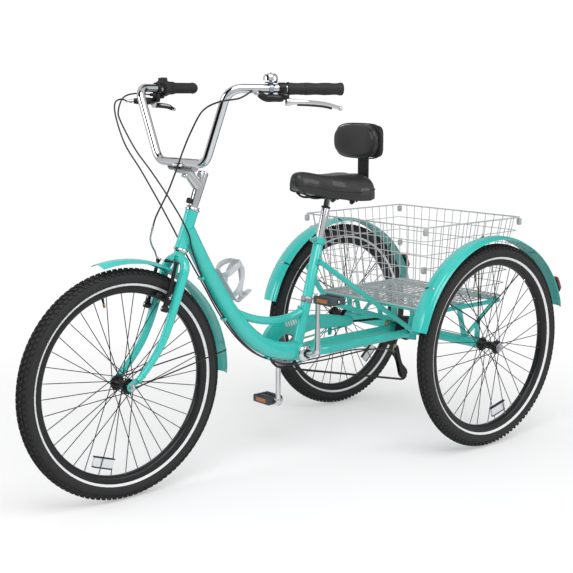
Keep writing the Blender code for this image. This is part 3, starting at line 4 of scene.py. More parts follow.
import bmesh
import bpy
import numpy as np
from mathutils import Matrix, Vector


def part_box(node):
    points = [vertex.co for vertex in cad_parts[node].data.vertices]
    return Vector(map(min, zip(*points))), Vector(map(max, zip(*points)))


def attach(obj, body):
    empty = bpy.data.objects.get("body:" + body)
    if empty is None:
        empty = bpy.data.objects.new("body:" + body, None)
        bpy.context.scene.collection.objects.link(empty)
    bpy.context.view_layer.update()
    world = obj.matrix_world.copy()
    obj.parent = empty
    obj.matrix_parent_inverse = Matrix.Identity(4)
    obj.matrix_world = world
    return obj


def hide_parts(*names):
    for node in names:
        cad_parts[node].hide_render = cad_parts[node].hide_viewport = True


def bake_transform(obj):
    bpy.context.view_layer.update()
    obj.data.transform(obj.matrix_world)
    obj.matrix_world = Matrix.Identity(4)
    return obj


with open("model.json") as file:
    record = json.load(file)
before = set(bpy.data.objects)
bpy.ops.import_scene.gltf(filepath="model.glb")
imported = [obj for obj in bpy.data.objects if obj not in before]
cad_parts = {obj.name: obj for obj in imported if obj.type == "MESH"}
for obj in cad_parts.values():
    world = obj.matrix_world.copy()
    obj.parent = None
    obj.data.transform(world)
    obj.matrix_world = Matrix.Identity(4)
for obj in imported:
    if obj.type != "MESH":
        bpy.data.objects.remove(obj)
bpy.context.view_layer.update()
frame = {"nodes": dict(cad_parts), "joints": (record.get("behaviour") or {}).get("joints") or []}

# The room: a wide pale floor that fades into an even white surround, with one large soft lamp overhead
# and weaker ones in front and beside. Two dark screens, seen only in reflections, edge the chrome.
bpy.context.scene.view_settings.view_transform = "Standard"
FLOOR_COLOUR = (0.93, 0.93, 0.94, 1)
FLOOR_HALF = 14.0
FLOOR_DROP = 0.0005
SURROUND = (1.0, 1.0, 1.0, 1)
ROOM_ACROSS = (0.656, 0.755, 0)
ROOM_TOWARDS = (0.755, -0.656, 0)
SCREEN_EDGES = (
    (0.23, 1.0), (0.25, 0.01), (0.42, 0.01), (0.44, 1.0), (0.86, 1.0), (0.88, 0.03), (0.92, 0.03),
)


def shader_node(tree, kind, inputs=(), **settings):
    """A node with its settings made, and each input linked from a socket or given a value."""
    made = tree.nodes.new("ShaderNode" + kind)
    for name, value in settings.items():
        setattr(made, name, value)
    for socket, value in dict(inputs).items():
        if isinstance(value, bpy.types.NodeSocket):
            tree.links.new(value, made.inputs[socket])
        else:
            made.inputs[socket].default_value = value
    return made


def screens(tree, way):
    """White all round but for two dark upright screens, by the bearing of a direction or a place."""
    reaches = [
        shader_node(tree, "VectorMath", {0: way, 1: axis}, operation="DOT_PRODUCT").outputs["Value"]
        for axis in (ROOM_ACROSS, ROOM_TOWARDS)
    ]
    bearing = shader_node(tree, "Math", enumerate(reaches), operation="ARCTAN2").outputs[0]
    whole_turn = {"Value": bearing, "From Min": -math.pi, "From Max": math.pi}
    around = shader_node(tree, "MapRange", whole_turn)
    ramp = shader_node(tree, "ValToRGB", {"Fac": around.outputs["Result"]})
    for place, shade in SCREEN_EDGES:
        ramp.color_ramp.elements.new(place).color = (shade, shade, shade, 1)
    ramp.color_ramp.elements[0].color = SURROUND
    return ramp.outputs["Color"]


def room_light(tree, way, dimmed):
    """Colour and strength: white to the eye, dimmer for light, with the screens in reflections."""
    path = shader_node(tree, "LightPath").outputs
    tint = {"A": SURROUND, "B": screens(tree, way), "Factor": path["Is Glossy Ray"]}
    colour = shader_node(tree, "Mix", tint, data_type="RGBA").outputs["Result"]
    step = {"Value": path["Is Camera Ray"], "To Min": dimmed, "To Max": 1.02}
    return path, colour, shader_node(tree, "MapRange", step).outputs["Result"]


surround = bpy.data.worlds.new("surround")
bpy.context.scene.world = surround
surround.use_nodes = True
sky = surround.node_tree
_, sky_colour, sky_strength = room_light(
    sky, shader_node(sky, "TexCoord").outputs["Generated"], 0.60
)
sky.links.new(sky_colour, sky.nodes["Background"].inputs["Color"])
sky.links.new(sky_strength, sky.nodes["Background"].inputs["Strength"])

floor_mesh = bpy.data.meshes.new("floor")
floor_corners = [(-1, -1), (1, -1), (1, 1), (-1, 1)]
floor_mesh.from_pydata(
    [(FLOOR_HALF * x, FLOOR_HALF * y, -FLOOR_DROP) for x, y in floor_corners], [], [(0, 1, 2, 3)]
)
floor_paint = bpy.data.materials.new("floor_paint")
floor_paint.use_nodes = True
paint = floor_paint.node_tree
matt = paint.nodes["Principled BSDF"]
matt.inputs["Base Color"].default_value = FLOOR_COLOUR
matt.inputs["Roughness"].default_value = 0.9
floor_way = shader_node(paint, "TexCoord").outputs["Object"]
floor_path, floor_colour, floor_strength = room_light(paint, floor_way, 0.66)
glow = shader_node(paint, "Emission", {"Color": floor_colour, "Strength": floor_strength})
distance = shader_node(paint, "VectorMath", {0: floor_way}, operation="LENGTH").outputs["Value"]
fade = shader_node(
    paint, "MapRange", {"Value": distance, "From Min": 0.6, "From Max": 2.2, "To Min": 0.35},
    interpolation_type="SMOOTHSTEP",
)
rays = {0: floor_path["Is Camera Ray"], 1: floor_path["Is Glossy Ray"]}
either = shader_node(paint, "Math", rays, operation="MAXIMUM").outputs["Value"]
share = {0: fade.outputs["Result"], 1: either}
seen = shader_node(paint, "Math", share, operation="MULTIPLY").outputs["Value"]
fading = shader_node(paint, "MixShader", {0: seen, 1: matt.outputs[0], 2: glow.outputs[0]})
paint.links.new(fading.outputs[0], paint.nodes["Material Output"].inputs["Surface"])
floor_mesh.materials.append(floor_paint)
floor = bpy.data.objects.new("floor", floor_mesh)
bpy.context.scene.collection.objects.link(floor)

for lamp_name, at, aim, size, power in (
    ("overhead_lamp", (1.6, -1.2, 3.4), (0.0, 0.0, 0.5), 2.6, 70.0),
    ("front_lamp", (-1.6, -3.6, 1.9), (0.0, -0.2, 0.6), 1.8, 34.0),
    ("side_lamp", (3.6, 1.8, 2.2), (0.1, 0.3, 0.5), 1.6, 30.0),
):
    light = bpy.data.lights.new(lamp_name, "AREA")
    light.size = size
    light.energy = power
    lamp = bpy.data.objects.new(lamp_name, light)
    bpy.context.scene.collection.objects.link(lamp)
    away = np.array(at) - np.array(aim)
    lamp.location = at
    lamp.rotation_euler = (
        math.acos(away[2] / np.linalg.norm(away)),
        0,
        math.atan2(away[0], -away[1]),
    )

# The camera stands ahead of the tricycle on its left, a little above the bar, with a short telephoto
# lens, and looks slightly downwards.
CAMERA_TURN = math.radians(49.14)
CAMERA_DIP = math.radians(9.83)
lens = bpy.data.cameras.new("camera")
lens.lens = 73.92
camera = bpy.data.objects.new("camera", lens)
camera.location = (2.7227, -2.3385, 1.164)
camera.rotation_euler = (math.pi / 2 - CAMERA_DIP, 0, CAMERA_TURN)
bpy.context.scene.collection.objects.link(camera)
bpy.context.scene.camera = camera

# Tyres: moulded black rubber, a round carcass with rows of small tread blocks, and a white reflecting
# stripe low on each sidewall. Each is stretched over its rim.
joints = {joint["name"]: joint for joint in frame["joints"]}
WHEELS = {
    "front": ("front_wheel", joints["front_wheel_spin"]["pos_m"]),
    "left_rear": ("left_wheel", joints["left_wheel_spin"]["pos_m"]),
    "right_rear": ("drive_axle", joints["drive_axle_spin"]["pos_m"]),
}
WHEEL_RADIUS = joints["front_wheel_spin"]["pos_m"][2]
CARCASS_CENTRE = WHEEL_RADIUS - 0.0250
CARCASS_HALF = np.array([
    (0.0000, 0.3242), (0.0070, 0.3236), (0.0130, 0.3210), (0.0180, 0.3160),
    (0.0216, 0.3100), (0.0240, 0.3040), (0.0230, 0.2970), (0.0205, 0.2908),
    (0.0172, 0.2862), (0.0148, 0.2822), (0.0126, 0.2800),
])
TREAD_PITCHES = 112
TREAD_TOP, TREAD_ROOT = 0.02495, 0.0185
TREAD_ROWS = ((-56, 9.0, 0.78, 0.0), (-29, 8.5, 0.80, 0.5), (0, 8.0, 0.84, 0.0))
STRIPE = np.array([(0.0150, 0.2822), (0.0193, 0.2886), (0.0198, 0.2884), (0.0155, 0.2819)])


def grid_faces(rows, columns, close_rows=False):
    """Four-sided faces of a grid of rows x columns points, numbered row by row, closed across."""
    i = np.arange(rows if close_rows else rows - 1)[:, None]
    j = np.arange(columns)[None, :]
    i, j = np.broadcast_arrays(i, j)
    k, m = (i + 1) % rows, (j + 1) % columns
    corners = [i * columns + j, i * columns + m, k * columns + m, k * columns + j]
    return np.stack(corners, axis=-1).reshape(-1, 4).tolist()


def skin(sections, close=False):
    """A closed surface over rows of section points; its ends are capped, or joined when it closes."""
    rows, columns, _ = sections.shape
    faces = grid_faces(rows, columns, close_rows=close)
    if not close:
        faces.append(list(range(columns))[::-1])
        faces.append(list(range((rows - 1) * columns, rows * columns)))
    return sections.reshape(-1, 3), faces


def unit(way):
    """A direction, or each row of directions, divided by its length."""
    way = np.asarray(way, float)
    return way / np.linalg.norm(way, axis=-1, keepdims=True)


def across(direction):
    """A unit direction, and two more at right angles to it and to each other."""
    direction = unit(direction)
    seed = np.array([1.0, 0, 0]) if abs(direction[0]) < 0.9 else np.array([0, 0, 1.0])
    first = unit(seed - direction * (seed @ direction))
    return direction, first, np.cross(direction, first)


def turned(profile, origin, axis, sides=32, ring=False):
    """Surface of revolution: profile rows of (distance along the axis, radius) carried round it."""
    axis, first, second = across(axis)
    turn = np.arange(sides) * 2 * math.pi / sides
    profile = np.asarray(profile, float)
    spokes = first * np.cos(turn)[:, None] + second * np.sin(turn)[:, None]
    points = (
        np.asarray(origin)
        + axis * profile[:, 0, None, None]
        + spokes[None] * profile[:, 1, None, None]
    )
    return skin(points, close=ring)


def join(*parts):
    """Several (points, faces) shells as one."""
    points, faces, count = [], [], 0
    for these, those in parts:
        points.append(these)
        faces += [[count + k for k in face] for face in those]
        count += len(these)
    return np.concatenate(points), faces


def object_texture(tree, scale, detail=4.0, kind="TexNoise"):
    """A texture node that reads the piece's own coordinates in metres, at a scale per metre."""
    place = shader_node(tree, "TexCoord").outputs["Object"]
    stretch, fineness = (scale, 1.0) if np.ndim(scale) else ((1, 1, 1), scale)
    mapping = shader_node(tree, "Mapping", {"Vector": place, "Scale": stretch})
    texture = shader_node(tree, kind, {"Vector": mapping.outputs["Vector"], "Scale": fineness})
    if "Detail" in texture.inputs:
        texture.inputs["Detail"].default_value = detail
    return texture


def finish(
    name, colour, other, mottle=25.0, rough=(0.4, 0.5), metal=0.0, coat=0.0,
    grain=0.0, grain_scale=900.0, grain_kind="TexNoise", **sockets,
):
    """A finish: colour mottled towards another, roughness varied with it, and a fine grain raised."""
    made = bpy.data.materials.new(name)
    made.use_nodes = True
    tree = made.node_tree
    shader = tree.nodes["Principled BSDF"]
    cloud = object_texture(tree, mottle).outputs[0]
    tints = {"A": (*colour, 1), "B": (*other, 1), "Factor": cloud}
    mix = shader_node(tree, "Mix", tints, data_type="RGBA")
    spread = shader_node(tree, "MapRange", {"Value": cloud, "To Min": rough[0], "To Max": rough[1]})
    tree.links.new(mix.outputs["Result"], shader.inputs["Base Color"])
    tree.links.new(spread.outputs["Result"], shader.inputs["Roughness"])
    black = max(colour) < 0.1 and not metal
    even_values = {
        "Metallic": metal, "Coat Weight": coat, "Coat Roughness": 0.08,
        "Specular IOR Level": 0.32 if black else 0.5,
    }
    even_values.update((socket.replace("_", " "), value) for socket, value in sockets.items())
    for socket, value in even_values.items():
        shader.inputs[socket].default_value = value
    if grain:
        relief = object_texture(tree, grain_scale, 2.0, grain_kind).outputs[0]
        bump = shader_node(tree, "Bump", {"Strength": grain, "Distance": 0.0006, "Height": relief})
        tree.links.new(bump.outputs["Normal"], shader.inputs["Normal"])
    return made


SHARP = 38.0


def build(name, shell, material, body, nodes=()):
    """One object from a (points, faces) shell: faces turned outwards, edges sharper than SHARP left
    crisp, finish on, riding its body; it replaces CAD nodes, which are hidden."""
    points, faces = shell
    mesh = bpy.data.meshes.new(name)
    mesh.from_pydata(np.asarray(points).tolist(), [], faces)
    sheet = bmesh.new()
    sheet.from_mesh(mesh)
    bmesh.ops.recalc_face_normals(sheet, faces=sheet.faces)
    sheet.to_mesh(mesh)
    sheet.free()
    mesh.shade_smooth()
    mesh.set_sharp_from_angle(angle=math.radians(SHARP))
    mesh.materials.append(material)
    made = bpy.data.objects.new(name, mesh)
    bpy.context.scene.collection.objects.link(made)
    if body:
        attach(made, body)
    if nodes:
        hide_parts(*nodes)
    for node in nodes:
        frame["nodes"][node].hide_render = True
        frame["nodes"][node].hide_viewport = True
    return made


def tread_blocks(centre):
    """Blocks set round the carcass: each corner is an angle round the wheel and one across it."""
    starts = np.arange(TREAD_PITCHES) * 2 * math.pi / TREAD_PITCHES
    square = ((-1, -1), (1, -1), (1, 1), (-1, 1))
    corner = np.array([(a, b, c) for c in (0, 1) for a, b in square])
    cube = np.array(
        [(0, 3, 2, 1), (4, 5, 6, 7), (0, 1, 5, 4), (1, 2, 6, 5), (2, 3, 7, 6), (3, 0, 4, 7)]
    )
    faces = (cube[None] + 8 * np.arange(TREAD_PITCHES)[:, None, None]).reshape(-1, 4).tolist()
    pitch = math.pi / TREAD_PITCHES
    shells = []
    rows = TREAD_ROWS + tuple(
        (-lean, half, fill, shift) for lean, half, fill, shift in TREAD_ROWS[:2]
    )
    for lean, half, fill, shift in rows:
        lean, half = math.radians(lean), math.radians(half)
        skew = 0.25 * pitch * np.sign(lean)
        turn = starts[:, None] + pitch * (
            corner[:, 0] * fill * 0.72 + 2 * shift
        ) + skew * corner[:, 1]
        tilt = lean + half * corner[:, 1] * (1 - 0.12 * corner[:, 2])
        depth = np.where(corner[:, 2] > 0, TREAD_TOP, TREAD_ROOT)
        radius = CARCASS_CENTRE + depth * np.cos(tilt)
        points = np.stack(
            [
                centre[0] + np.broadcast_to(depth * np.sin(tilt) * 0.98, turn.shape),
                centre[1] + radius * np.sin(turn),
                centre[2] + radius * np.cos(turn),
            ],
            axis=-1,
        )
        shells.append((points.reshape(-1, 3), faces))
    return join(*shells)


tyre_rubber = finish(
    "tyre_rubber", (0.016, 0.016, 0.017), (0.030, 0.030, 0.031), mottle=60.0,
    rough=(0.62, 0.80), grain=0.35, grain_scale=1400.0, Specular_IOR_Level=0.35,
)
stripe_white = finish(
    "reflecting_stripe", (0.72, 0.73, 0.74), (0.86, 0.87, 0.88), mottle=120.0,
    rough=(0.30, 0.45), grain=0.25, grain_scale=2200.0,
)
carcass_ring = np.vstack([CARCASS_HALF, CARCASS_HALF[:0:-1] * [-1, 1]])
for wheel, (body, centre) in WHEELS.items():
    carcass = turned(carcass_ring, centre, (1, 0, 0), 96, ring=True)
    build(
        wheel + "_tyre_piece", join(carcass, tread_blocks(centre)), tyre_rubber, body,
        nodes=[wheel + "_tyre"],
    )
    stripes = [turned(STRIPE * [side, 1], centre, (1, 0, 0), 96, ring=True) for side in (1, -1)]
    build(wheel + "_tyre_stripes", join(*stripes), stripe_white, body)

# Rims: black anodised box section with hooked edges. Thirty-six crossed black spokes hold each to its
# hub, with plated nipples at the rim, and a valve comes through between two of them.
RIM_SECTION = np.array([
    (0.0118, 0.2810), (0.0145, 0.2818), (0.0148, 0.2790), (0.0142, 0.2690),
    (0.0132, 0.2655), (0.0100, 0.2618), (0.0050, 0.2600), (0.0000, 0.2597),
])
SPOKES = 36
SPOKE_LEAN = math.radians(62)
SPOKE_THICKNESS = 0.0013
FLANGE_HOLE_RADIUS = 0.0185
FLANGE_X = {"front": 0.0280, "left_rear": 0.0290, "right_rear": 0.0290}
VALVE_TURN = {"front": -13.2, "left_rear": -18.8, "right_rear": 130.0}
REFLECTOR_TURN = {"front": -161.3, "left_rear": 166.5, "right_rear": 138.3}


def rods(starts, ends, radius, sides=6):
    """Straight round rods between pairs of points, all at once."""
    starts, ends = np.asarray(starts, float), np.asarray(ends, float)
    along = unit(ends - starts)
    seed = np.where(np.abs(along[:, :1]) < 0.9, [[1.0, 0, 0]], [[0, 0, 1.0]])
    first = unit(seed - along * (seed * along).sum(1)[:, None])
    second = np.cross(along, first)
    turn = np.arange(sides) * 2 * math.pi / sides
    radius = np.broadcast_to(np.asarray(radius, float), (len(starts),))[:, None, None]
    ring = radius * (
        first[:, None] * np.cos(turn)[:, None] + second[:, None] * np.sin(turn)[:, None]
    )
    points = np.stack([starts[:, None] + ring, ends[:, None] + ring], axis=1)
    faces = []
    for k in range(len(starts)):
        base = 2 * sides * k
        faces += [[base + v for v in face] for face in grid_faces(2, sides)]
        faces.append([base + v for v in range(sides)][::-1])
        faces.append([base + sides + v for v in range(sides)])
    return points.reshape(-1, 3), faces


def round_wheel(centre, radius, turn, x=0.0):
    """Places at a radius and a turn back from a wheel's top, x across it."""
    turn = np.asarray(turn, float)
    radius, x, turn = np.broadcast_arrays(radius, x, turn)
    offset = np.stack([x, radius * np.sin(turn), radius * np.cos(turn)], axis=-1)
    return np.asarray(centre) + offset


black_anodised = finish(
    "black_anodised", (0.010, 0.010, 0.011), (0.018, 0.018, 0.020), mottle=40.0,
    rough=(0.24, 0.34), metal=0.35, grain=0.05, grain_scale=1800.0,
)
black_wire = finish(
    "black_wire", (0.012, 0.012, 0.013), (0.030, 0.030, 0.032), mottle=150.0,
    rough=(0.25, 0.40), metal=0.5,
)
plated_steel = finish(
    "plated_steel", (0.62, 0.63, 0.65), (0.50, 0.51, 0.54), mottle=200.0,
    rough=(0.18, 0.34), metal=1.0, grain=0.10, grain_scale=2500.0,
)
brass = finish(
    "brass", (0.60, 0.42, 0.16), (0.42, 0.30, 0.13), mottle=300.0, rough=(0.25, 0.4), metal=1.0,
)
clear_plastic = finish(
    "reflector_clear", (0.80, 0.82, 0.84), (0.62, 0.65, 0.68), mottle=260.0, rough=(0.08, 0.2),
    grain=0.9, grain_scale=260.0, grain_kind="TexVoronoi", coat=0.6,
)


def brick(centre, axes, sizes, round_off=0.25, rings=9, sides=20):
    """A block with rounded edges: a sphere's two angles with each cosine raised to a small power."""
    rise = np.linspace(-math.pi / 2 + 0.02, math.pi / 2 - 0.02, rings)[:, None]
    turn = (np.arange(sides) + 0.5)[None] * 2 * math.pi / sides

    def squared(value):
        return np.sign(value) * np.abs(value) ** round_off

    cube = np.stack(
        [
            squared(np.cos(rise)) * squared(np.cos(turn)),
            squared(np.cos(rise)) * squared(np.sin(turn)),
            np.broadcast_to(squared(np.sin(rise)), (rings, sides)),
        ],
        axis=-1,
    )
    cube *= np.asarray(sizes) / 2
    return skin(np.asarray(centre) + cube @ np.asarray(axes, float))


rim_ring = np.vstack([RIM_SECTION, RIM_SECTION[-2::-1] * [-1, 1]])
spoke_number = np.arange(SPOKES)
spoke_side = np.where(spoke_number % 2 == 0, 1.0, -1.0)
spoke_pull = np.where((spoke_number // 2) % 2 == 0, 1.0, -1.0)
rim_turn = 2 * math.pi * spoke_number / SPOKES
for wheel, (body, centre) in WHEELS.items():
    build(
        wheel + "_rim_piece", turned(rim_ring, centre, (1, 0, 0), 96, ring=True), black_anodised,
        body,
        nodes=[wheel + "_rim"],
    )
    flange_x = FLANGE_X[wheel]
    hole_x = spoke_side * (flange_x + 0.0012 * spoke_pull)
    hub_end = round_wheel(centre, FLANGE_HOLE_RADIUS, rim_turn + SPOKE_LEAN * spoke_pull, hole_x)
    rim_end = round_wheel(centre, 0.2615, rim_turn, spoke_side * 0.0025)
    build(
        wheel + "_spokes", rods(hub_end, rim_end, SPOKE_THICKNESS), black_wire, body,
    )
    inward = unit(hub_end - rim_end)
    nipples = rods(rim_end - 0.003 * inward, rim_end + 0.0095 * inward, 0.0019)
    build(wheel + "_nipples", nipples, plated_steel, body)
    turn = math.radians(VALVE_TURN[wheel])
    out = round_wheel((0, 0, 0), 1.0, turn)
    valve_base = np.asarray(centre) + out * 0.2620
    build(
        wheel + "_valve",
        turned([(0, 0.0042), (0.004, 0.0040), (0.012, 0.0034), (0.0125, 0.0030), (0.020, 0.0030)],
               valve_base, -out, 12),
        tyre_rubber, body,
    )
    build(
        wheel + "_valve_cap",
        turned([(0, 0.0031), (0.001, 0.0038), (0.011, 0.0036), (0.012, 0.0026)],
               valve_base - out * 0.018, -out, 12),
        brass, body,
    )
    turn = math.radians(REFLECTOR_TURN[wheel])
    out, along = round_wheel((0, 0, 0), 1.0, turn), round_wheel((0, 0, 0), 1.0, turn + math.pi / 2)
    at = np.asarray(centre) + out * 0.225
    axes = [along, [1, 0, 0], out]
    build(
        wheel + "_spoke_reflector", brick(at, axes, [0.068, 0.0090, 0.026], 0.2), clear_plastic,
        body,
    )
    build(
        wheel + "_reflector_frame",
        join(
            brick(at - out * 0.0145, axes, [0.074, 0.0100, 0.004], 0.3),
            brick(at + out * 0.0145, axes, [0.066, 0.0100, 0.004], 0.3),
        ),
        black_wire, body,
    )

# Hubs: black barrels with pressed flanges, turned from steel, running on the front axle and on the
# live rear axle. Plated nuts and washers close each axle's ends.
for wheel, (body, centre) in WHEELS.items():
    flange_x = FLANGE_X[wheel]
    half = np.array(
        [
            (flange_x + 0.0100, 0.0078),
            (flange_x + 0.0098, 0.0118),
            (flange_x + 0.0050, 0.0132),
            (flange_x + 0.0020, 0.0150),
            (flange_x + 0.0018, 0.0212),
            (flange_x + 0.0008, 0.0222),
            (flange_x - 0.0008, 0.0222),
            (flange_x - 0.0018, 0.0212),
            (flange_x - 0.0020, 0.0160),
            (flange_x - 0.0080, 0.0118),
            (0.0000, 0.0108),
        ]
    )
    barrel = np.vstack([half, half[-2::-1] * [-1, 1]])
    build(
        wheel + "_hub_piece", turned(barrel, centre, (1, 0, 0), 40), black_anodised, body,
        nodes=[wheel + "_hub"],
    )


def axle_end(origin, direction, radius, nut):
    """Washer, six-sided nut and rounded threaded end, outwards from a face."""
    direction = np.asarray(direction, float)
    washer = turned([(0, nut * 1.25), (0.0014, nut * 1.25)], origin, direction, 28)
    hexagon = turned(
        [(0.0014, nut), (0.0016, nut * 1.06), (0.0086, nut * 1.06), (0.0092, nut * 0.9)],
        origin, direction, 6,
    )
    thread = turned([(0, radius), (0.0120, radius), (0.0128, radius * 0.7)], origin, direction, 16)
    return join(washer, hexagon, thread)


for axle, body, half_radius, nut in (
    ("front_axle", "fork", 0.0045, 0.0085),
    ("rear_axle", "drive_axle", 0.0075, 0.0112),
):
    low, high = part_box(axle)
    middle = [(a + b) / 2 for a, b in zip(low, high)]
    reach = (high[0] - low[0]) / 2 - 0.0130
    ends = [
        axle_end([side * reach, middle[1], middle[2]], [side, 0, 0], half_radius, nut)
        for side in (1, -1)
    ]
    shaft = rods([[-reach, middle[1], middle[2]]], [[reach, middle[1], middle[2]]], half_radius, 16)
    build(axle + "_piece", join(shaft, *ends), plated_steel, body, nodes=[axle])

# Main frame: welded steel tubes under a glossy turquoise enamel. A swan-neck down tube sweeps from the
# head tube to the bracket shell, a thin top tube follows it, and two flat-sided stays run back.
STEER_UP = unit(joints["steering"]["axis"])
STEER_FOOT = np.array(joints["steering"]["pos_m"], float)
STEER_AHEAD = np.array([0, -STEER_UP[2], STEER_UP[1]])
STEER_AXES = [[1, 0, 0], STEER_AHEAD, STEER_UP]
SQUARE = np.eye(3)
CUP_HALF_HEIGHT = 0.0053
BRACKET = np.array(joints["crank_spin"]["pos_m"], float)
REAR_AXLE = np.array([0, *joints["drive_axle_spin"]["pos_m"][1:]])
SEAT_UP = unit(joints["seat_height"]["axis"])
SEAT_FOOT = BRACKET + [0, -0.0060, 0]
SEAT_TUBE_LENGTH = 0.368
SEAT_TUBE_TOP = SEAT_FOOT + SEAT_UP * SEAT_TUBE_LENGTH
SEAT_TUBE_RADIUS = 0.0165
HEAD_TUBE_RADIUS = 0.0185
SHELL_HALF = 0.0340
SHELL_RADIUS = 0.0290
STAY_X = 0.0450
RACK_TOP = 0.4530
ENAMEL = (0.034, 0.560, 0.500)
ENAMEL_DEEP = (0.028, 0.505, 0.452)


def steering_point(along, ahead=0.0, side=0.0):
    """Foot of the steering axis, plus distances up it, ahead of it and to the left."""
    return STEER_FOOT + along * STEER_UP + ahead * STEER_AHEAD + np.array([side, 0, 0])


def corners_of(node):
    """The lowest and highest corners of a node's box, as arrays."""
    return [np.array(corner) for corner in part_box(node)]


def height_on_steering(node):
    """How far up the steering axis the middle of a node's box lies."""
    return float((sum(corners_of(node)) / 2 - STEER_FOOT) @ STEER_UP)


def bezier(p0, p1, p2, p3, count):
    """Cubic Bezier curve: its four points weighted by the binomial powers of t and 1 - t."""
    t = np.linspace(0, 1, count)[:, None]
    p0, p1, p2, p3 = (np.asarray(p, float) for p in (p0, p1, p2, p3))
    return (1 - t) ** 3 * p0 + 3 * (1 - t) ** 2 * t * p1 + 3 * (1 - t) * t**2 * p2 + t**3 * p3


def even(path, count):
    """The same path with its points at even distances along it."""
    path = np.asarray(path, float)
    gone = np.concatenate([[0], np.cumsum(np.linalg.norm(np.diff(path, axis=0), axis=1))])
    at = np.linspace(0, gone[-1], count)
    return np.stack([np.interp(at, gone, path[:, k]) for k in range(3)], axis=1)


def through(points, count):
    """Catmull-Rom curve through points: cubics whose slope at each point joins its neighbours."""
    points = np.asarray(points, float)
    p = np.vstack([2 * points[0] - points[1], points, 2 * points[-1] - points[-2]])[:, None]
    t = np.linspace(0, 1, 16, endpoint=False)[None, :, None]
    a, b, c, d = p[:-3], p[1:-2], p[2:-1], p[3:]
    dense = 0.5 * (
        2 * b
        + (c - a) * t
        + (2 * a - 5 * b + 4 * c - d) * t**2
        + (3 * b - a - 3 * c + d) * t**3
    )
    return even(np.vstack([dense.reshape(-1, 3), points[-1:]]), count)


def rounded(points, radius, steps=10):
    """A polyline whose inner corners become arcs of one radius."""
    points = np.asarray(points, float)
    path = [points[:1]]
    for before, corner, after in zip(points, points[1:], points[2:]):
        back, on = unit(before - corner), unit(after - corner)
        half = math.acos(np.clip(back @ on, -1, 1)) / 2
        middle = corner + unit(back + on) * radius / math.sin(half)
        start = corner + back * radius / math.tan(half) - middle
        end = corner + on * radius / math.tan(half) - middle
        angle = math.pi - 2 * half
        t = np.linspace(0, 1, steps)[:, None]
        arc = start * np.sin((1 - t) * angle) + end * np.sin(t * angle)
        path.append(middle + arc / math.sin(angle))
    return np.vstack(path + [points[-1:]])


def tube(path, radius, sides=20, flatten=1.0, closed=False):
    """A circle carried along a path without twist; radius may change, flatten scales it one way."""
    path = np.asarray(path, float)
    radius = np.broadcast_to(np.asarray(radius, float), (len(path),))
    if closed:
        ahead = unit(np.roll(path, -1, axis=0) - np.roll(path, 1, axis=0))
    else:
        ahead = unit(np.gradient(path, axis=0))
    seed = np.array([1.0, 0, 0]) if abs(ahead[0, 0]) < 0.9 else np.array([0, 0, 1.0])
    first = []
    for step in ahead:
        seed = unit(seed - step * (seed @ step))
        first.append(seed)
    first = np.array(first)
    second = np.cross(ahead, first)
    turn = np.arange(sides) * 2 * math.pi / sides
    points = (
        path[:, None]
        + first[:, None] * (radius[:, None] * np.cos(turn))[..., None]
        + second[:, None] * (radius[:, None] * np.sin(turn))[..., None] * flatten
    )
    return skin(points, close=closed)


def straight(start, end, radius, sides=20):
    """A straight round tube with its edges just broken."""
    start, end = np.asarray(start, float), np.asarray(end, float)
    length = np.linalg.norm(end - start)
    edge = min(0.0008, length / 4, radius / 3)
    profile = [(0, radius - edge), (edge, radius), (length - edge, radius), (length, radius - edge)]
    return turned(profile, start, end - start, sides)


def weld(centre, axis, radius, thick=0.0021, ripples=26):
    """A weld bead: a small ring whose thickness ripples round the joint it closes."""
    axis, first, second = across(axis)
    turn = np.linspace(0, 2 * math.pi, 3 * ripples, endpoint=False)[:, None]
    lap = np.linspace(0, 2 * math.pi, 8, endpoint=False)[None]
    bead = thick * (1 + 0.16 * np.cos(ripples * turn))
    out = radius + bead * np.cos(lap)
    points = (
        np.asarray(centre)
        + out[..., None] * (first * np.cos(turn)[..., None] + second * np.sin(turn)[..., None])
        + axis * (bead * np.sin(lap))[..., None]
    )
    return skin(points, close=True)


def extruded(outline, x0, x1):
    """A flat plate: an outline of (y, z) points carried from x0 to x1."""
    outline = np.asarray(outline, float)
    rows = [np.column_stack([np.full(len(outline), x), outline]) for x in (x0, x1)]
    return skin(np.array(rows))


def bolt(at, direction, radius, height, sides=6):
    """A hexagon head on a washer, with a low dome."""
    washer = turned([(0, radius * 1.5), (0.0012, radius * 1.5)], at, direction, 24)
    head = turned(
        [
            (0.001, radius), (height - 0.001, radius), (height, radius * 0.82),
            (height + 0.0006, 0.001),
        ],
        at, direction, sides,
    )
    return join(washer, head)


enamel = finish(
    "turquoise_enamel", ENAMEL, ENAMEL_DEEP, mottle=5.0, rough=(0.20, 0.30), coat=0.8,
    grain=0.05, grain_scale=420.0,
)
HEAD_LOW = height_on_steering("lower_headset_cup") + CUP_HALF_HEIGHT
HEAD_HIGH = height_on_steering("upper_headset_cup") - CUP_HALF_HEIGHT
neck_start = steering_point(HEAD_LOW + (HEAD_HIGH - HEAD_LOW) * 0.52)
NECK_POINTS = (
    neck_start,
    neck_start + 0.40 * np.array([0, 0.4616, -0.8870]),
    BRACKET + [0, 0, 0.001] - 0.16 * np.array([0, 0.995, -0.0995]),
    BRACKET + [0, 0, 0.001],
)
neck_path = bezier(*NECK_POINTS, 57)
top_start = neck_path[17]
top_end = SEAT_FOOT + SEAT_UP * 0.142
top_path = bezier(
    top_start, top_start + [0, 0.085, -0.058], top_end - [0, 0.090, 0.052], top_end, 41
)
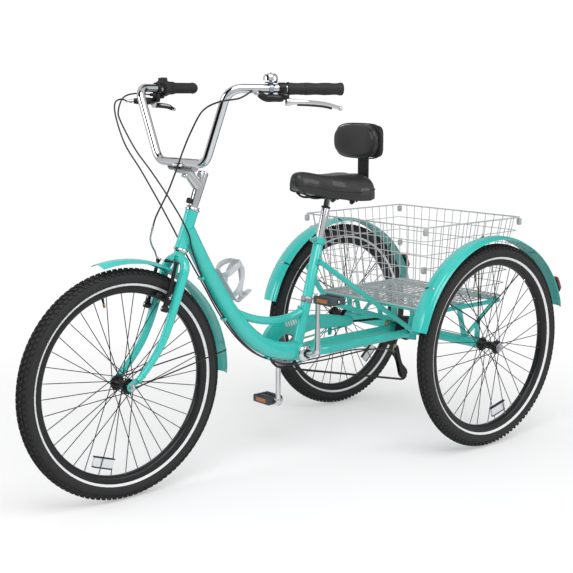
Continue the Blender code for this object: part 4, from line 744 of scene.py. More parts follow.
head_tube = turned(
    [(0, 0.0150), (0, 0.0192), (0.006, 0.0192), (0.009, HEAD_TUBE_RADIUS),
     (HEAD_HIGH - HEAD_LOW - 0.009, HEAD_TUBE_RADIUS), (HEAD_HIGH - HEAD_LOW - 0.006, 0.0192),
     (HEAD_HIGH - HEAD_LOW, 0.0192), (HEAD_HIGH - HEAD_LOW, 0.0150)],
    steering_point(HEAD_LOW), STEER_UP, 40, ring=True,
)
shell_edge = [(0, SHELL_RADIUS - 0.004), (0, SHELL_RADIUS - 0.001), (0.001, SHELL_RADIUS)]
shell_profile = [(x - SHELL_HALF, radius) for x, radius in shell_edge]
shell_profile += [(SHELL_HALF - x, radius) for x, radius in shell_edge[::-1]]
shell = turned(shell_profile, BRACKET, (1, 0, 0), 48, ring=True)
seat_tube = turned(
    [(0.020, SEAT_TUBE_RADIUS), (SEAT_TUBE_LENGTH - 0.001, SEAT_TUBE_RADIUS),
     (SEAT_TUBE_LENGTH, SEAT_TUBE_RADIUS - 0.0006), (SEAT_TUBE_LENGTH, 0.0131), (0.020, 0.0131)],
    SEAT_FOOT, SEAT_UP, 32, ring=True,
)
stays = []
for side in (1, -1):
    start = BRACKET + [side * (STAY_X - 0.022), 0.015, 0]
    bend = BRACKET + [side * STAY_X, 0.095, -0.001]
    end = np.array([side * STAY_X, REAR_AXLE[1] - 0.0560, REAR_AXLE[2]])
    stays.append(tube(even(rounded([start, bend, end], 0.10), 40), 0.0095, 20, flatten=1.5))
    back = REAR_AXLE[1] - 0.0170
    plate_outline = [
        (back - 0.060, REAR_AXLE[2] - 0.013), (back - 0.030, REAR_AXLE[2] - 0.024),
        (back, REAR_AXLE[2] - 0.030), (back, RACK_TOP - 0.038), (back - 0.004, RACK_TOP - 0.034),
        (back - 0.018, RACK_TOP - 0.034), (back - 0.022, RACK_TOP - 0.038),
        (back - 0.040, REAR_AXLE[2] + 0.020), (back - 0.060, REAR_AXLE[2] + 0.013),
    ]
    stays.append(extruded(plate_outline, side * STAY_X - 0.0028, side * STAY_X + 0.0028))
NECK_RADIUS = 0.0265
neck_radius = NECK_RADIUS + np.linspace(-0.003, 0.003, len(neck_path))
build(
    "main_frame_piece",
    join(
        head_tube, shell, seat_tube, *stays,
        tube(neck_path, neck_radius, 32),
        tube(top_path, 0.0125, 20),
        weld(top_path[-1] + [0, -0.0175, -0.0040], top_path[-1] - top_path[-2], 0.0125),
        weld(SEAT_FOOT + SEAT_UP * 0.0305, SEAT_UP, SEAT_TUBE_RADIUS),
        weld(BRACKET + [0, -0.0300, 0.003], (0, 1, -0.1), 0.0290),
    ),
    enamel, "frame", nodes=["main_frame"],
)
lug_bolts = [
    bolt(
        [side * (STAY_X + 0.0028), REAR_AXLE[1] - 0.030, RACK_TOP - 0.052], [side, 0, 0], 0.0060,
        0.0050
    )
    for side in (1, -1)
]
build("main_frame_bolts", join(*lug_bolts), plated_steel, "frame")
yellow_plated = finish(
    "yellow_plated", (0.72, 0.60, 0.28), (0.55, 0.50, 0.33), mottle=320.0, rough=(0.22, 0.38),
    metal=1.0,
)
nuts = [
    bolt([-STAY_X + 0.0028, y, z], [1, 0, 0], 0.0068, 0.0062)
    for y, z in ((REAR_AXLE[1] - 0.0700, 0.3520), (REAR_AXLE[1] - 0.0330, 0.3560))
]
build("main_frame_nuts", join(*nuts), yellow_plated, "frame")

# Seat stays: a straight one on the left and a bowed one inside the chain on the right, each pressed
# flat at its ends and bolted. A plain steel band sits round the seat tube.
left_foot = np.array([STAY_X + 0.0186, REAR_AXLE[1] - 0.0580, REAR_AXLE[2] + 0.012])
left_high = SEAT_FOOT + SEAT_UP * 0.292 + [SEAT_TUBE_RADIUS + 0.0093, 0, 0]
build(
    "left_seat_stay_piece",
    join(
        straight(left_high, left_foot, 0.0085, 24),
        brick(left_foot + [0, 0.008, -0.002], SQUARE, [0.006, 0.034, 0.026], 0.4),
        weld(left_high - [0.004, 0, 0], (1, 0, 0), 0.0085),
    ),
    enamel, "frame", nodes=["left_seat_stay"],
)
build(
    "left_stay_bolt", bolt(left_foot + [0.0030, 0.010, -0.001], (1, 0, 0), 0.0068, 0.0056),
    enamel, "frame",
)
right_high = SEAT_FOOT + SEAT_UP * 0.270 - [SEAT_TUBE_RADIUS + 0.0093, 0, 0]
right_route = [
    right_high,
    right_high + [-0.010, 0.105, -0.120],
    (-STAY_X + 0.0118, REAR_AXLE[1] - 0.154, REAR_AXLE[2] + 0.066),
    (-STAY_X + 0.0118, REAR_AXLE[1] - 0.044, REAR_AXLE[2] + 0.035),
]
build(
    "right_seat_stay_piece",
    join(
        tube(through(right_route, 40), 0.0085, 24),
        weld(right_high + [0.004, 0, 0], (1, 0, 0), 0.0085),
    ),
    enamel, "frame", nodes=["right_seat_stay"],
)
band_foot = SEAT_FOOT + SEAT_UP * 0.158
band = turned(
    [(0, 0.0168), (0, 0.0180), (0.001, 0.0186), (0.017, 0.0186), (0.018, 0.0180), (0.018, 0.0168)],
    band_foot, SEAT_UP, 40, ring=True,
)
brushed = finish(
    "brushed_steel", (0.34, 0.35, 0.36), (0.46, 0.47, 0.48), mottle=(40.0, 40.0, 900.0),
    rough=(0.30, 0.46), metal=1.0,
)
build("seat_tube_band", band, brushed, "frame")

# Seat clamp: a painted band with two ears and a plated bolt, round the top of the seat tube.
clamp_foot = SEAT_TUBE_TOP - SEAT_UP * 0.021
SEAT_BACK = np.cross(SEAT_UP, [1, 0, 0])
clamp_ring = turned(
    [(0, 0.0169), (0, 0.0196), (0.001, 0.0205), (0.017, 0.0205), (0.018, 0.0196), (0.018, 0.0169)],
    clamp_foot, SEAT_UP, 40, ring=True,
)
clamp_axes = [[1, 0, 0], SEAT_BACK, SEAT_UP]
ears = [
    brick(
        clamp_foot + SEAT_UP * 0.009 - SEAT_BACK * 0.0255 + [x, 0, 0], clamp_axes,
        [0.0055, 0.014, 0.0140], 0.3,
    )
    for x in (-0.0050, 0.0050)
]
build(
    "seat_clamp_piece", join(clamp_ring, *ears), enamel, "frame", nodes=["seat_clamp"],
)
clamp_bolt_at = clamp_foot + SEAT_UP * 0.009 - SEAT_BACK * 0.0265
build(
    "seat_clamp_bolt",
    join(
        straight(clamp_bolt_at - [0.0085, 0, 0], clamp_bolt_at + [0.0085, 0, 0], 0.0028, 12),
        bolt(clamp_bolt_at + [0.0076, 0, 0], (1, 0, 0), 0.0044, 0.0045),
        bolt(clamp_bolt_at - [0.0076, 0, 0], (-1, 0, 0), 0.0044, 0.0045),
    ),
    plated_steel, "frame",
)

# Bearing cups: polished steel, pressed into both ends of the head tube and into the bracket shell,
# with lock nuts that hold the bearings.
chrome = finish(
    "chrome_plate", (0.80, 0.81, 0.83), (0.72, 0.73, 0.75), mottle=14.0, rough=(0.05, 0.12),
    metal=1.0,
)
CUP = 0.0100
for cup, start, flip in (
    ("lower_headset_cup", HEAD_LOW - 0.0003, -1.0), ("upper_headset_cup", HEAD_HIGH + 0.0003, 1.0)
):
    rings = [(0, 0.0140), (0, 0.0198), (0.0012, 0.0216), (0.0040, 0.0222), (0.0062, 0.0210)]
    rings += [(0.0068, 0.0184), (CUP, 0.0176), (CUP, 0.0140)]
    build(
        cup + "_piece", turned(rings, steering_point(start), STEER_UP * flip, 48, ring=True),
        chrome,
        "frame", nodes=[cup],
    )
lock_rings = [(0, 0.0128), (0, 0.0200), (0.0030, 0.0200), (0.0036, 0.0185), (0.0036, 0.0128)]
lock_nut = turned(lock_rings, steering_point(HEAD_HIGH + CUP + 0.0006), STEER_UP, 8, ring=True)
build("headset_lock_nut", lock_nut, chrome, "fork")
cup_profile = [
    (0, 0.0095), (0, 0.0262), (0.0020, 0.0268), (0.0050, 0.0262), (0.0085, 0.0225),
    (0.0110, 0.0190), (0.0120, 0.0165), (0.0120, 0.0095),
]
cup_at = BRACKET + [SHELL_HALF + 0.0003, 0, 0]
build(
    "left_bracket_cup_piece", turned(cup_profile, cup_at, (1, 0, 0), 48, ring=True), chrome,
    "frame",
    nodes=["left_bracket_cup"],
)
cone_nut = [
    (0.0120, 0.0095), (0.0120, 0.0148), (0.0170, 0.0148), (0.0176, 0.0138), (0.0176, 0.0095)
]
build(
    "bracket_cone_nut", turned(cone_nut, cup_at, (1, 0, 0), 6, ring=True), black_anodised, "frame",
)

# Rear frame: enamelled steel. Two axle tubes carry posts and braces, and a rectangle of tubes on them
# holds the basket up.
TUBE_END = 0.3090
RAIL_X = TUBE_END - 0.0550
rack_front = REAR_AXLE[1] - 0.170
rack_back = REAR_AXLE[1] + 0.170
rail_z = RACK_TOP - 0.0075
corner_radius = 0.020
quarter = np.linspace(0, math.pi / 2, 8)
rack_loop = []
for sx, y, start in (
    (1, rack_back, 0.0), (-1, rack_back, math.pi / 2), (-1, rack_front, math.pi),
    (1, rack_front, -math.pi / 2)
):
    middle = np.array([
        sx * (RAIL_X - corner_radius), y - math.copysign(corner_radius, y - REAR_AXLE[1]), rail_z
    ])
    arc = np.stack([np.cos(start + quarter), np.sin(start + quarter), 0 * quarter], axis=1)
    rack_loop.append(middle + corner_radius * arc)
rack_parts = [tube(np.vstack(rack_loop), 0.0074, 16, closed=True)]
mid_y = REAR_AXLE[1] + 0.002
rack_parts.append(straight((-RAIL_X, mid_y, rail_z), (RAIL_X, mid_y, rail_z), 0.0070, 16))
rack_parts.append(straight((-0.0050, *REAR_AXLE[1:]), (TUBE_END, *REAR_AXLE[1:]), 0.0160, 32))
rack_parts.append(straight((-0.1050, *REAR_AXLE[1:]), (-TUBE_END, *REAR_AXLE[1:]), 0.0160, 32))
for x in (RAIL_X - 0.010, 0.025, -0.135, -RAIL_X + 0.010):
    foot = REAR_AXLE + [x, 0, 0.010]
    rack_parts.append(straight(foot, (x, REAR_AXLE[1] - 0.030, rail_z), 0.0085, 18))
    rack_parts.append(weld(foot + [0, -0.0030, 0.0075], (0, -0.25, 1), 0.0088))
for side in (1, -1):
    foot = REAR_AXLE + [side * (RAIL_X - 0.0105), 0.004, 0.010]
    rack_parts.append(straight(foot, (side * RAIL_X, rack_back - 0.035, rail_z), 0.0065, 16))
    lug = REAR_AXLE + [side * 0.2982, 0, 0.044]
    rack_parts.append(brick(lug, SQUARE, [0.0050, 0.022, 0.068], 0.3))
    rack_parts.append(weld(REAR_AXLE + [side * 0.2982, 0, 0], (1, 0, 0), 0.0160))
build(
    "rear_frame_piece", join(*rack_parts), enamel, "frame", nodes=["rear_frame"]
)

# Fork: two oval enamelled blades, drawn thin towards the wheel and swept forwards, bent in and welded
# under the steerer, with pressed tabs that hold the axle.
CROWN = HEAD_LOW - 0.0310
BLADE_X = 0.0470
RAKE = float((np.array(joints["front_wheel_spin"]["pos_m"]) - STEER_FOOT) @ STEER_AHEAD)
FRONT_AXLE = np.array(joints["front_wheel_spin"]["pos_m"], float)


def blade(side):
    """Points down a blade: bent in at the crown, then ahead as the square of the way down."""
    drops = ((0.0, 0.085), (0.004, 0.62), (0.022, 0.94), (0.050, 1.0))
    points = [steering_point(CROWN - drop, 0, side * BLADE_X * share) for drop, share in drops]
    for s in (0.250, 0.200, 0.150, 0.110, 0.075, 0.045, 0.022):
        ahead = RAKE * (1 - s / 0.200) ** 2 if s < 0.200 else 0.0
        points.append(steering_point(s, ahead, side * BLADE_X))
    return through(points, 60)


fork_parts = []
for side in (1, -1):
    path = blade(side)
    radius = np.interp(np.linspace(0, 1, 60), [0, 0.35, 1], [0.0138, 0.0138, 0.0090])
    fork_parts.append(tube(path, radius, 28))
    tip = path[-1]
    y, z = FRONT_AXLE[1:]
    turn = np.linspace(math.pi * 0.62, math.pi * 2.05, 16)
    tab = [(y + 0.0135 * math.cos(a), z + 0.0135 * math.sin(a)) for a in turn]
    tab += [
        (tip[1] + 0.0085, tip[2] - 0.002), (tip[1] + 0.0060, tip[2] + 0.010),
        (tip[1] - 0.0085, tip[2] + 0.006),
    ]
    inner, outer = sorted((side * 0.0414, side * 0.0462))
    fork_parts.append(extruded(tab, inner, outer))
    fork_parts.append(weld(path[-4], path[-1] - path[-4], 0.0094, 0.0016))
    boss = steering_point(0.235, 0.0100, side * 0.0440)
    fork_parts.append(straight(boss, boss + STEER_AHEAD * 0.0036, 0.0078, 20))
fork_parts.append(straight(
    steering_point(CROWN - 0.004), steering_point(HEAD_LOW - CUP - 0.0006), 0.0165, 32
))
fork_parts.append(weld(steering_point(CROWN + 0.008), STEER_UP, 0.0168))
fork_parts.append(
    turned([(0, 0.0114), (0, 0.0126), (0.155, 0.0126), (0.155, 0.0114)],
           steering_point(HEAD_LOW - CUP), STEER_UP, 28, ring=True)
)
build("fork_piece", join(*fork_parts), enamel, "fork", nodes=["fork"])

# Fenders: rolled steel strips, crowned, with a groove along each side and a wired edge, enamelled to
# match. Black wire stays and small bolts hold them.
FENDER_RADIUS = float(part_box("front_fender")[1][2] - FRONT_AXLE[2])
FENDER_HALF = 0.0320


def fender_skin(centre, ahead, behind, steps):
    """A crowned strip bent round the wheel; its section drops as the square of the way out."""
    turn = np.radians(np.linspace(-ahead, behind, steps))[:, None]
    u = np.linspace(-1, 1, 25)[None]
    groove = 0.0011 * np.exp(-(((np.abs(u) - 0.70) / 0.07) ** 2))
    taper = 1 - 0.10 * np.clip((np.abs(turn) - np.radians(behind) + 0.10) / 0.10, 0, 1) ** 2
    outer = FENDER_RADIUS - 0.0090 * np.abs(u) ** 2.2 - groove
    rows = [
        round_wheel(
            centre, radius, turn, FENDER_HALF * u * taper
        ) for radius in (outer, outer - 0.0012)
    ]
    section = np.concatenate([rows[0], rows[1][:, ::-1]], axis=1)
    edges = [
        tube(
            round_wheel(
                centre, FENDER_RADIUS - 0.0092, turn[:, 0], side * FENDER_HALF * taper[:, 0]
            ),
            0.0014, 10,
        )
        for side in (1, -1)
    ]
    return join(skin(section), *edges)


def stay_wire(start, end, tip):
    """A wire stay with a flattened eye at its lower end and a short foot along the fender."""
    return join(
        straight(start, end, 0.0020, 10),
        brick(start, across(end - start), [0.012, 0.010, 0.0030], 0.5),
                straight(end, tip, 0.0020, 10))


red_plastic = finish(
    "reflector_red", (0.42, 0.010, 0.012), (0.20, 0.004, 0.006), mottle=320.0, rough=(0.10, 0.22),
    grain=0.8, grain_scale=420.0, grain_kind="TexVoronoi", coat=0.7,
)
front_skin = fender_skin(FRONT_AXLE, 12, 93, 72)
lug_low = steering_point(math.sqrt((FENDER_RADIUS - 0.001) ** 2 - RAKE**2))
build(
    "front_fender_piece",
    join(
        front_skin,
        tube(even([lug_low, steering_point(CROWN - 0.014)], 8), np.linspace(0.0110, 0.0070, 8), 16),
        brick(steering_point(CROWN - 0.004, 0.0205), STEER_AXES, [0.018, 0.0030, 0.030], 0.4),
    ),
    enamel, "fork", nodes=["front_fender"],
)
front_stays = []
for side in (1, -1):
    tip = round_wheel(
        FRONT_AXLE, FENDER_RADIUS - 0.0090, math.radians(81), side * (FENDER_HALF + 0.0006)
    )
    hook = round_wheel(
        FRONT_AXLE, FENDER_RADIUS + 0.0010, math.radians(81), side * FENDER_HALF * 0.55
    )
    foot = FRONT_AXLE + [side * 0.0590, 0.010, 0.003]
    front_stays.append(stay_wire(foot, tip, hook))
build("front_fender_stays", join(*front_stays), black_wire, "fork")
for name, side in (("left_rear", 1), ("right_rear", -1)):
    centre = np.array(WHEELS[name][1], float)
    build(
        name + "_fender_piece", fender_skin(centre, 75, 75, 104), enamel, "frame",
        nodes=[name + "_fender"],
    )
    foot = np.array([side * 0.3012, REAR_AXLE[1], REAR_AXLE[2] + 0.0700])
    wires, bolts = [], []
    for turn in (-52, -4, 44):
        turn = math.radians(turn)
        tip = round_wheel(centre, FENDER_RADIUS - 0.0088, turn, -side * (FENDER_HALF + 0.0006))
        hook = round_wheel(centre, FENDER_RADIUS + 0.0012, turn, -side * FENDER_HALF * 0.45)
        wires.append(stay_wire(foot, tip, hook))
        out = round_wheel((0, 0, 0), 1.0, turn)
        crown_at = round_wheel(centre, FENDER_RADIUS - 0.0005, turn, side * FENDER_HALF * 0.10)
        bolts.append(turned(
            [(0, 0.0060), (0.0008, 0.0060), (0.0026, 0.0038), (0.0032, 0.0012)], crown_at, out, 16
        ))
    bolts.append(bolt(foot - [side * 0.003, 0, 0], (-side, 0, 0), 0.0050, 0.0045))
    build(name + "_fender_stays", join(*wires), black_wire, "frame")
    build(name + "_fender_bolts", join(*bolts), plated_steel, "frame")
    turn = math.radians(64)
    out, along = round_wheel((0, 0, 0), 1.0, turn), round_wheel((0, 0, 0), 1.0, turn + math.pi / 2)
    at = round_wheel(centre, FENDER_RADIUS + 0.0200, turn, 0.0)
    axes = [[1, 0, 0], along, out]
    build(
        name + "_tail_reflector", brick(at + out * 0.003, axes, [0.034, 0.052, 0.014], 0.35),
        red_plastic,
        "frame",
    )
    build(
        name + "_reflector_base",
        join(
            brick(at - out * 0.0045, axes, [0.038, 0.056, 0.009], 0.35),
            straight(at - out * 0.021, at, 0.0060, 16),
        ),
        black_wire,
        "frame",
    )

# Linear-pull front brake: two black cast arms on studs brazed to the blades, rubber blocks clamped to
# them with plated nuts. The bent noodle and the boot between their tops come with the cables.
for name, side in (("left", 1), ("right", -1)):
    foot, waist, head = (
        steering_point(s, ahead, side * x)
        for s, ahead, x in (
            (0.235, 0.0275, 0.044), (0.290, 0.0295, 0.045), (CROWN - 0.017, 0.0335, 0.044)
        )
    )
    arm_path = through([foot, waist, head], 24)
    arm = tube(arm_path, np.linspace(0.0068, 0.0040, 24), 16, flatten=1.25)
    hub = straight(foot - STEER_AHEAD * 0.0085, foot + STEER_AHEAD * 0.0085, 0.0092, 24)
    shoe = steering_point(0.2677, 0.0285, side * 0.0262)
    holder = brick(shoe + [side * 0.0052, 0, 0], STEER_AXES, [0.0045, 0.040, 0.0105], 0.4)
    clevis = brick(head, STEER_AXES, [0.0100, 0.0120, 0.0110], 0.35)
    body = name + "_brake_arm"
    build(
        body + "_piece", join(arm, hub, holder, clevis), black_anodised, body, nodes=[body],
    )
    rubber_block = brick(shoe, STEER_AXES, [0.0080, 0.056, 0.0125], 0.30)
    build(body + "_block", rubber_block, tyre_rubber, body)
    post = straight(shoe + [side * 0.004, 0, 0], shoe + [side * 0.026, 0, 0], 0.0032, 14)
    nut = turned(
        [(0, 0.0052), (0.005, 0.0052), (0.0070, 0.0036), (0.0078, 0.0012)],
        shoe + [side * 0.0245, 0, 0],
        [side, 0, 0], 6,
    )
    stud = turned(
        [(0, 0.0042), (0.0030, 0.0042), (0.0036, 0.0030)], foot + STEER_AHEAD * 0.0085, STEER_AHEAD,
        16
    )
    build(body + "_nuts", join(post, nut, stud), plated_steel, body)

# Quill stem: polished cast aluminium. An upright post with a flat top, a forward arm, and a ribbed
# clamp that is closed by one screw. A black cable hook is clipped to its foot.
CLAMP = np.array(joints["bar_angle"]["pos_m"], float)
STEM_TOP = 0.6463
BAR_RADIUS = 0.0125
post_foot = HEAD_HIGH + CUP + 0.0046
post_rings = [
    (0, 0.0128), (0.010, 0.0138), (0.040, 0.0150), (STEM_TOP - post_foot - 0.006, 0.0158),
    (STEM_TOP - post_foot - 0.001, 0.0152), (STEM_TOP - post_foot, 0.0140),
]
arm_foot = steering_point(0.6013)
arm_way = CLAMP - arm_foot
clamp_length = 0.0450
ribs = [(-clamp_length / 2, BAR_RADIUS + 0.0006), (-clamp_length / 2, 0.0192)]
for step in np.linspace(-clamp_length / 2 + 0.0015, clamp_length / 2 - 0.0015, 43):
    ribs.append((step, 0.0200 + 0.0005 * math.cos(step * 2 * math.pi / 0.0041)))
ribs += [(clamp_length / 2, 0.0192), (clamp_length / 2, BAR_RADIUS + 0.0006)]
arm_line = even([arm_foot, CLAMP - arm_way * 0.24], 14)
stem_top = steering_point(STEM_TOP)
build(
    "stem_piece",
    join(
        turned(post_rings, steering_point(post_foot), STEER_UP, 36),
        tube(arm_line, np.linspace(0.0150, 0.0112, 14), 24, flatten=1.25),
        turned(ribs, CLAMP, (1, 0, 0), 40, ring=True),
        brick(
            CLAMP - arm_way * 0.20 - STEER_AHEAD * 0.002 - STEER_UP * 0.0150, STEER_AXES,
            [0.020, 0.016, 0.013], 0.4,
        ),
    ),
    finish(
        "polished_alloy", (0.70, 0.71, 0.72), (0.58, 0.59, 0.60), mottle=30.0, rough=(0.12, 0.24),
        metal=1.0,
    ),
    "stem", nodes=["stem"],
)
screw = turned(
    [(0, 0.0062), (0.0012, 0.0066), (0.0024, 0.0058), (0.0024, 0.0034), (0.0010, 0.0032)], stem_top,
    STEER_UP, 24,
)
hook_at = steering_point(post_foot + 0.011, 0.0190)
build(
    "stem_screws",
    join(screw, brick(hook_at, STEER_AXES, [0.016, 0.013, 0.016], 0.35),
         straight(steering_point(post_foot + 0.02, 0.0150), steering_point(0.590, 0.0158), 0.0016, 8)),
    black_anodised, "stem",
)

# Handlebar: chromed steel tube, bent into two upright risers and two grips that point backwards and a
# little outwards. Its middle is knurled where the stem holds it.
BAR_LOW = np.array([0.112, -0.005, 0.011])
BAR_HIGH = np.array([0.213, -0.002, 0.218])
BAR_END = np.array([0.344, 0.294, 0.216])
BAR_INSET = 0.0040


def grip_place(side, back):
    """A place on the bar, so far back from its end, with its along, outward and up directions."""
    mirror = np.array([side, 1, 1])
    along = unit((BAR_END - BAR_HIGH) * mirror)
    outer = unit(np.cross(along, [0, 0, side]))
    up = np.cross(outer, along) * side
    return CLAMP + BAR_END * mirror - along * back, along, outer, up


left_corners = np.array([CLAMP + BAR_LOW, CLAMP + BAR_HIGH, grip_place(1, BAR_INSET)[0]])
bar_corners = np.vstack([left_corners[::-1] * [-1, 1, 1], left_corners])
bar_line = rounded(bar_corners, 0.045, 16)
build(
    "handlebar_piece", tube(bar_line, BAR_RADIUS, 32), chrome, "handlebar", nodes=["handlebar"],
)
knurl_rings = [(-0.058, 0.0126)]
for step in np.linspace(-0.057, 0.057, 115):
    knurl_rings.append((step, 0.0131 + 0.0003 * math.cos(step * 2 * math.pi / 0.0030)))
knurl_rings.append((0.058, 0.0126))
build("bar_knurling", turned(knurl_rings, CLAMP, (1, 0, 0), 28), brushed, "handlebar")

# Grips: moulded black rubber, pressed on to the bar's ends; the left one long with two seams and a
# flared end, the right one short and ribbed.
grip_rubber = finish(
    "grip_rubber", (0.016, 0.016, 0.017), (0.026, 0.026, 0.028), mottle=60.0, rough=(0.48, 0.62),
    grain=0.25, grain_scale=1500.0,
)
LEFT_GRIP, RIGHT_GRIP = 0.160, 0.130
for name, side, length in (("left", 1, LEFT_GRIP), ("right", -1, RIGHT_GRIP)):
    start, along, outer, up = grip_place(side, length)
    rings = [
        (0, BAR_RADIUS + 0.0006), (0, 0.0170), (0.0015, 0.0185), (0.0050, 0.0185), (0.0065, 0.0166)
    ]
    for d in np.linspace(0.0075, length - 0.014, 120):
        if side > 0:
            seam = min(abs(d - length * 0.30), abs(d - length * 0.72))
            swell = 0.0006 * math.cos(d * 2 * math.pi / 0.055)
            radius = 0.0164 - 0.0011 * math.exp(-((seam / 0.0012) ** 2)) + swell
        else:
            radius = 0.0161 + 0.0006 * math.cos(d * 2 * math.pi / 0.0052)
        rings.append((d, radius))
    rings += [
        (length - 0.011, 0.0172), (length - 0.006, 0.0178), (length - 0.001, 0.0168),
        (length, 0.0150),
    ]
    rings += [(length, 0.0004)]
    build(
        name + "_grip_piece", turned(rings, start, along, 40), grip_rubber, "handlebar",
        nodes=[name + "_grip"],
    )

# Twist shifter: a fluted rubber sleeve that turns on the bar beside a black plastic drum, which shows
# the gear in a silver-edged window and sends a cable forwards.
satin_plastic = finish(
    "satin_plastic", (0.017, 0.017, 0.018), (0.030, 0.030, 0.032), mottle=45.0, rough=(0.34, 0.46),
    grain=0.10, grain_scale=1100.0,
)
TWIST = 0.0420
start, along, outer, up = grip_place(-1, RIGHT_GRIP + 0.0003 + TWIST)
_, first, second = across(along)
turn = np.linspace(0, 2 * math.pi, 144, endpoint=False)
round_bar = first * np.cos(turn)[:, None] + second * np.sin(turn)[:, None]
flutes = []
for d, radius, depth in (
    (0.0006, 0.0135, 0), (0.0006, 0.0192, 0), (0.0020, 0.0204, 0), (0.0050, 0.0204, 0),
    (0.0070, 0.0198, 0.0007),
    (TWIST - 0.010, 0.0190, 0.0007), (TWIST - 0.008, 0.0198, 0), (TWIST - 0.002, 0.0196, 0),
    (TWIST - 0.0005, 0.0180, 0),
    (TWIST - 0.0005, 0.0135, 0),
):
    out = (radius + depth * np.cos(24 * turn))[:, None]
    flutes.append(start + along * d + out * round_bar)
build("twist_shifter_piece", skin(np.array(flutes), close=True), grip_rubber, "twist_shifter",
      nodes=["twist_shifter"])
DRUM = 0.0260
start, along, outer, up = grip_place(-1, RIGHT_GRIP + 0.0006 + TWIST + DRUM)
drum_rings = [
    (0, 0.0131), (0, 0.0225), (0.0015, 0.0248), (0.0050, 0.0255), (0.0200, 0.0255), (0.0240, 0.0246),
    (DRUM - 0.0006, 0.0225), (DRUM - 0.0006, 0.0131),
]
window = start + along * 0.012 + up * 0.0252
chin = start + along * 0.010 - up * 0.0200 + outer * 0.012
build(
    "shifter_housing_piece",
    join(
        turned(drum_rings, start, along, 40, ring=True),
        brick(window, [outer, along, up], [0.024, 0.022, 0.012], 0.35),
        brick(chin, [outer, along, up], [0.030, 0.022, 0.024], 0.4),
        straight(
            chin + outer * 0.006 - along * 0.008, chin + outer * 0.010 - along * 0.034, 0.0048, 18
        ),
    ),
    satin_plastic, "handlebar", nodes=["shifter_housing"],
)
shift_mouth = chin + outer * 0.010 - along * 0.032
frame_ring = brick(window + up * 0.0054, [outer, along, up], [0.021, 0.0190, 0.0026], 0.30)
build("gear_window_edge", frame_ring, plated_steel, "handlebar")
pane = brick(window + up * 0.0066, [outer, along, up], [0.0165, 0.0145, 0.0012], 0.30)
build("gear_window_pane", pane, satin_plastic, "handlebar")

# Brake levers: black cast brackets clamped under the bar, each with a plated barrel adjuster and a
# pivot screw; the levers are chromed blades with a black grip strip and a ball at the tip.
lever_mouths = {}
for name, side in (("left", 1), ("right", -1)):
    drop = BAR_RADIUS + (0.0120 if side > 0 else 0.0260)
    back = LEFT_GRIP + 0.024 if side > 0 else RIGHT_GRIP + TWIST + DRUM + 0.030
    place, along, outer, up = grip_place(side, back)
    axes = [outer, along, up]
    mid = place - along * 0.016 - up * drop + outer * 0.012
    ring_rings = [
        (0, BAR_RADIUS + 0.0006), (0, 0.0160), (0.0012, 0.0170), (0.0188, 0.0170), (0.020, 0.0160),
        (0.020, BAR_RADIUS + 0.0006),
    ]
    neck = brick(
        place + along * 0.010 - up * (BAR_RADIUS + drop) / 2 + outer * 0.004, axes,
        [0.020, 0.019, drop - BAR_RADIUS + 0.008], 0.4,
    )
    mouth = mid - along * 0.042 + (up * 0.010 if side > 0 else outer * 0.030)
    shell_path = through(
        [mouth, mid - along * 0.022, mid, mid + along * 0.026 + outer * 0.005 - up * 0.002], 16
    )
    body_shell = tube(
        shell_path,
        np.interp(
            np.linspace(0, 1, 16), [0, 0.1, 0.5, 0.9, 1], [0.0072, 0.0088, 0.0105, 0.0092, 0.0065]
        ),
        20, flatten=1.05,
    )
    pivot = np.array(joints[name + "_lever_pivot"]["pos_m"], float)
    cheek = straight(pivot - up * 0.0050, pivot + up * 0.0078, 0.0098, 24)
    build(
        name + "_lever_bracket_piece",
        join(turned(ring_rings, place, along, 32, ring=True), neck, body_shell, cheek),
        black_anodised, "handlebar", nodes=[name + "_lever_bracket"],
    )
    aim = mouth - (mid - along * 0.022)
    barrel = [
        (0, 0.0036), (0.004, 0.0036), (0.004, 0.0058), (0.0052, 0.0064), (0.0110, 0.0064),
        (0.0118, 0.0056), (0.0118, 0.0042), (0.020, 0.0042), (0.021, 0.0034),
    ]
    screws = [
        turned(barrel, mouth, aim, 20),
        turned([(0, 0.0056), (0.0016, 0.0056), (0.0024, 0.0046)], pivot + up * 0.0078, up, 20),
        bolt(place + along * 0.010 - outer * 0.0165 - up * 0.004, -outer, 0.0034, 0.0040),
    ]
    lever_mouths[name] = mouth + unit(aim) * 0.020
    build(name + "_lever_screws", join(*screws), plated_steel, "handlebar")
    steps = (
        (0.0, 0.0, 0.0105), (0.018, 0.009, 0.0112), (0.060, 0.015, 0.0122), (0.110, 0.013, 0.0170),
        (0.150, 0.018, 0.0280),
    )
    blade_line = through(
        [pivot + along * a + outer * o - up * (u - 0.0005) for a, o, u in steps], 40
    )
    blade_width = np.interp(
        np.linspace(0, 1, 40), [0, 0.06, 0.15, 0.8, 1], [0.0085, 0.0085, 0.0052, 0.0044, 0.0040]
    )
    ball = brick(blade_line[-1], axes, [0.0124, 0.0124, 0.0124], 1.0, 15, 24)
    body = name + "_brake_lever"
    build(
        body + "_piece", join(tube(blade_line, blade_width, 18, flatten=1.25), ball), chrome, body,
        nodes=[body],
    )
    strip = tube(blade_line[8:34] - outer * 0.0010 - up * 0.0052, 0.0044, 14, flatten=1.2)
    build(body + "_strip", strip, satin_plastic, body)

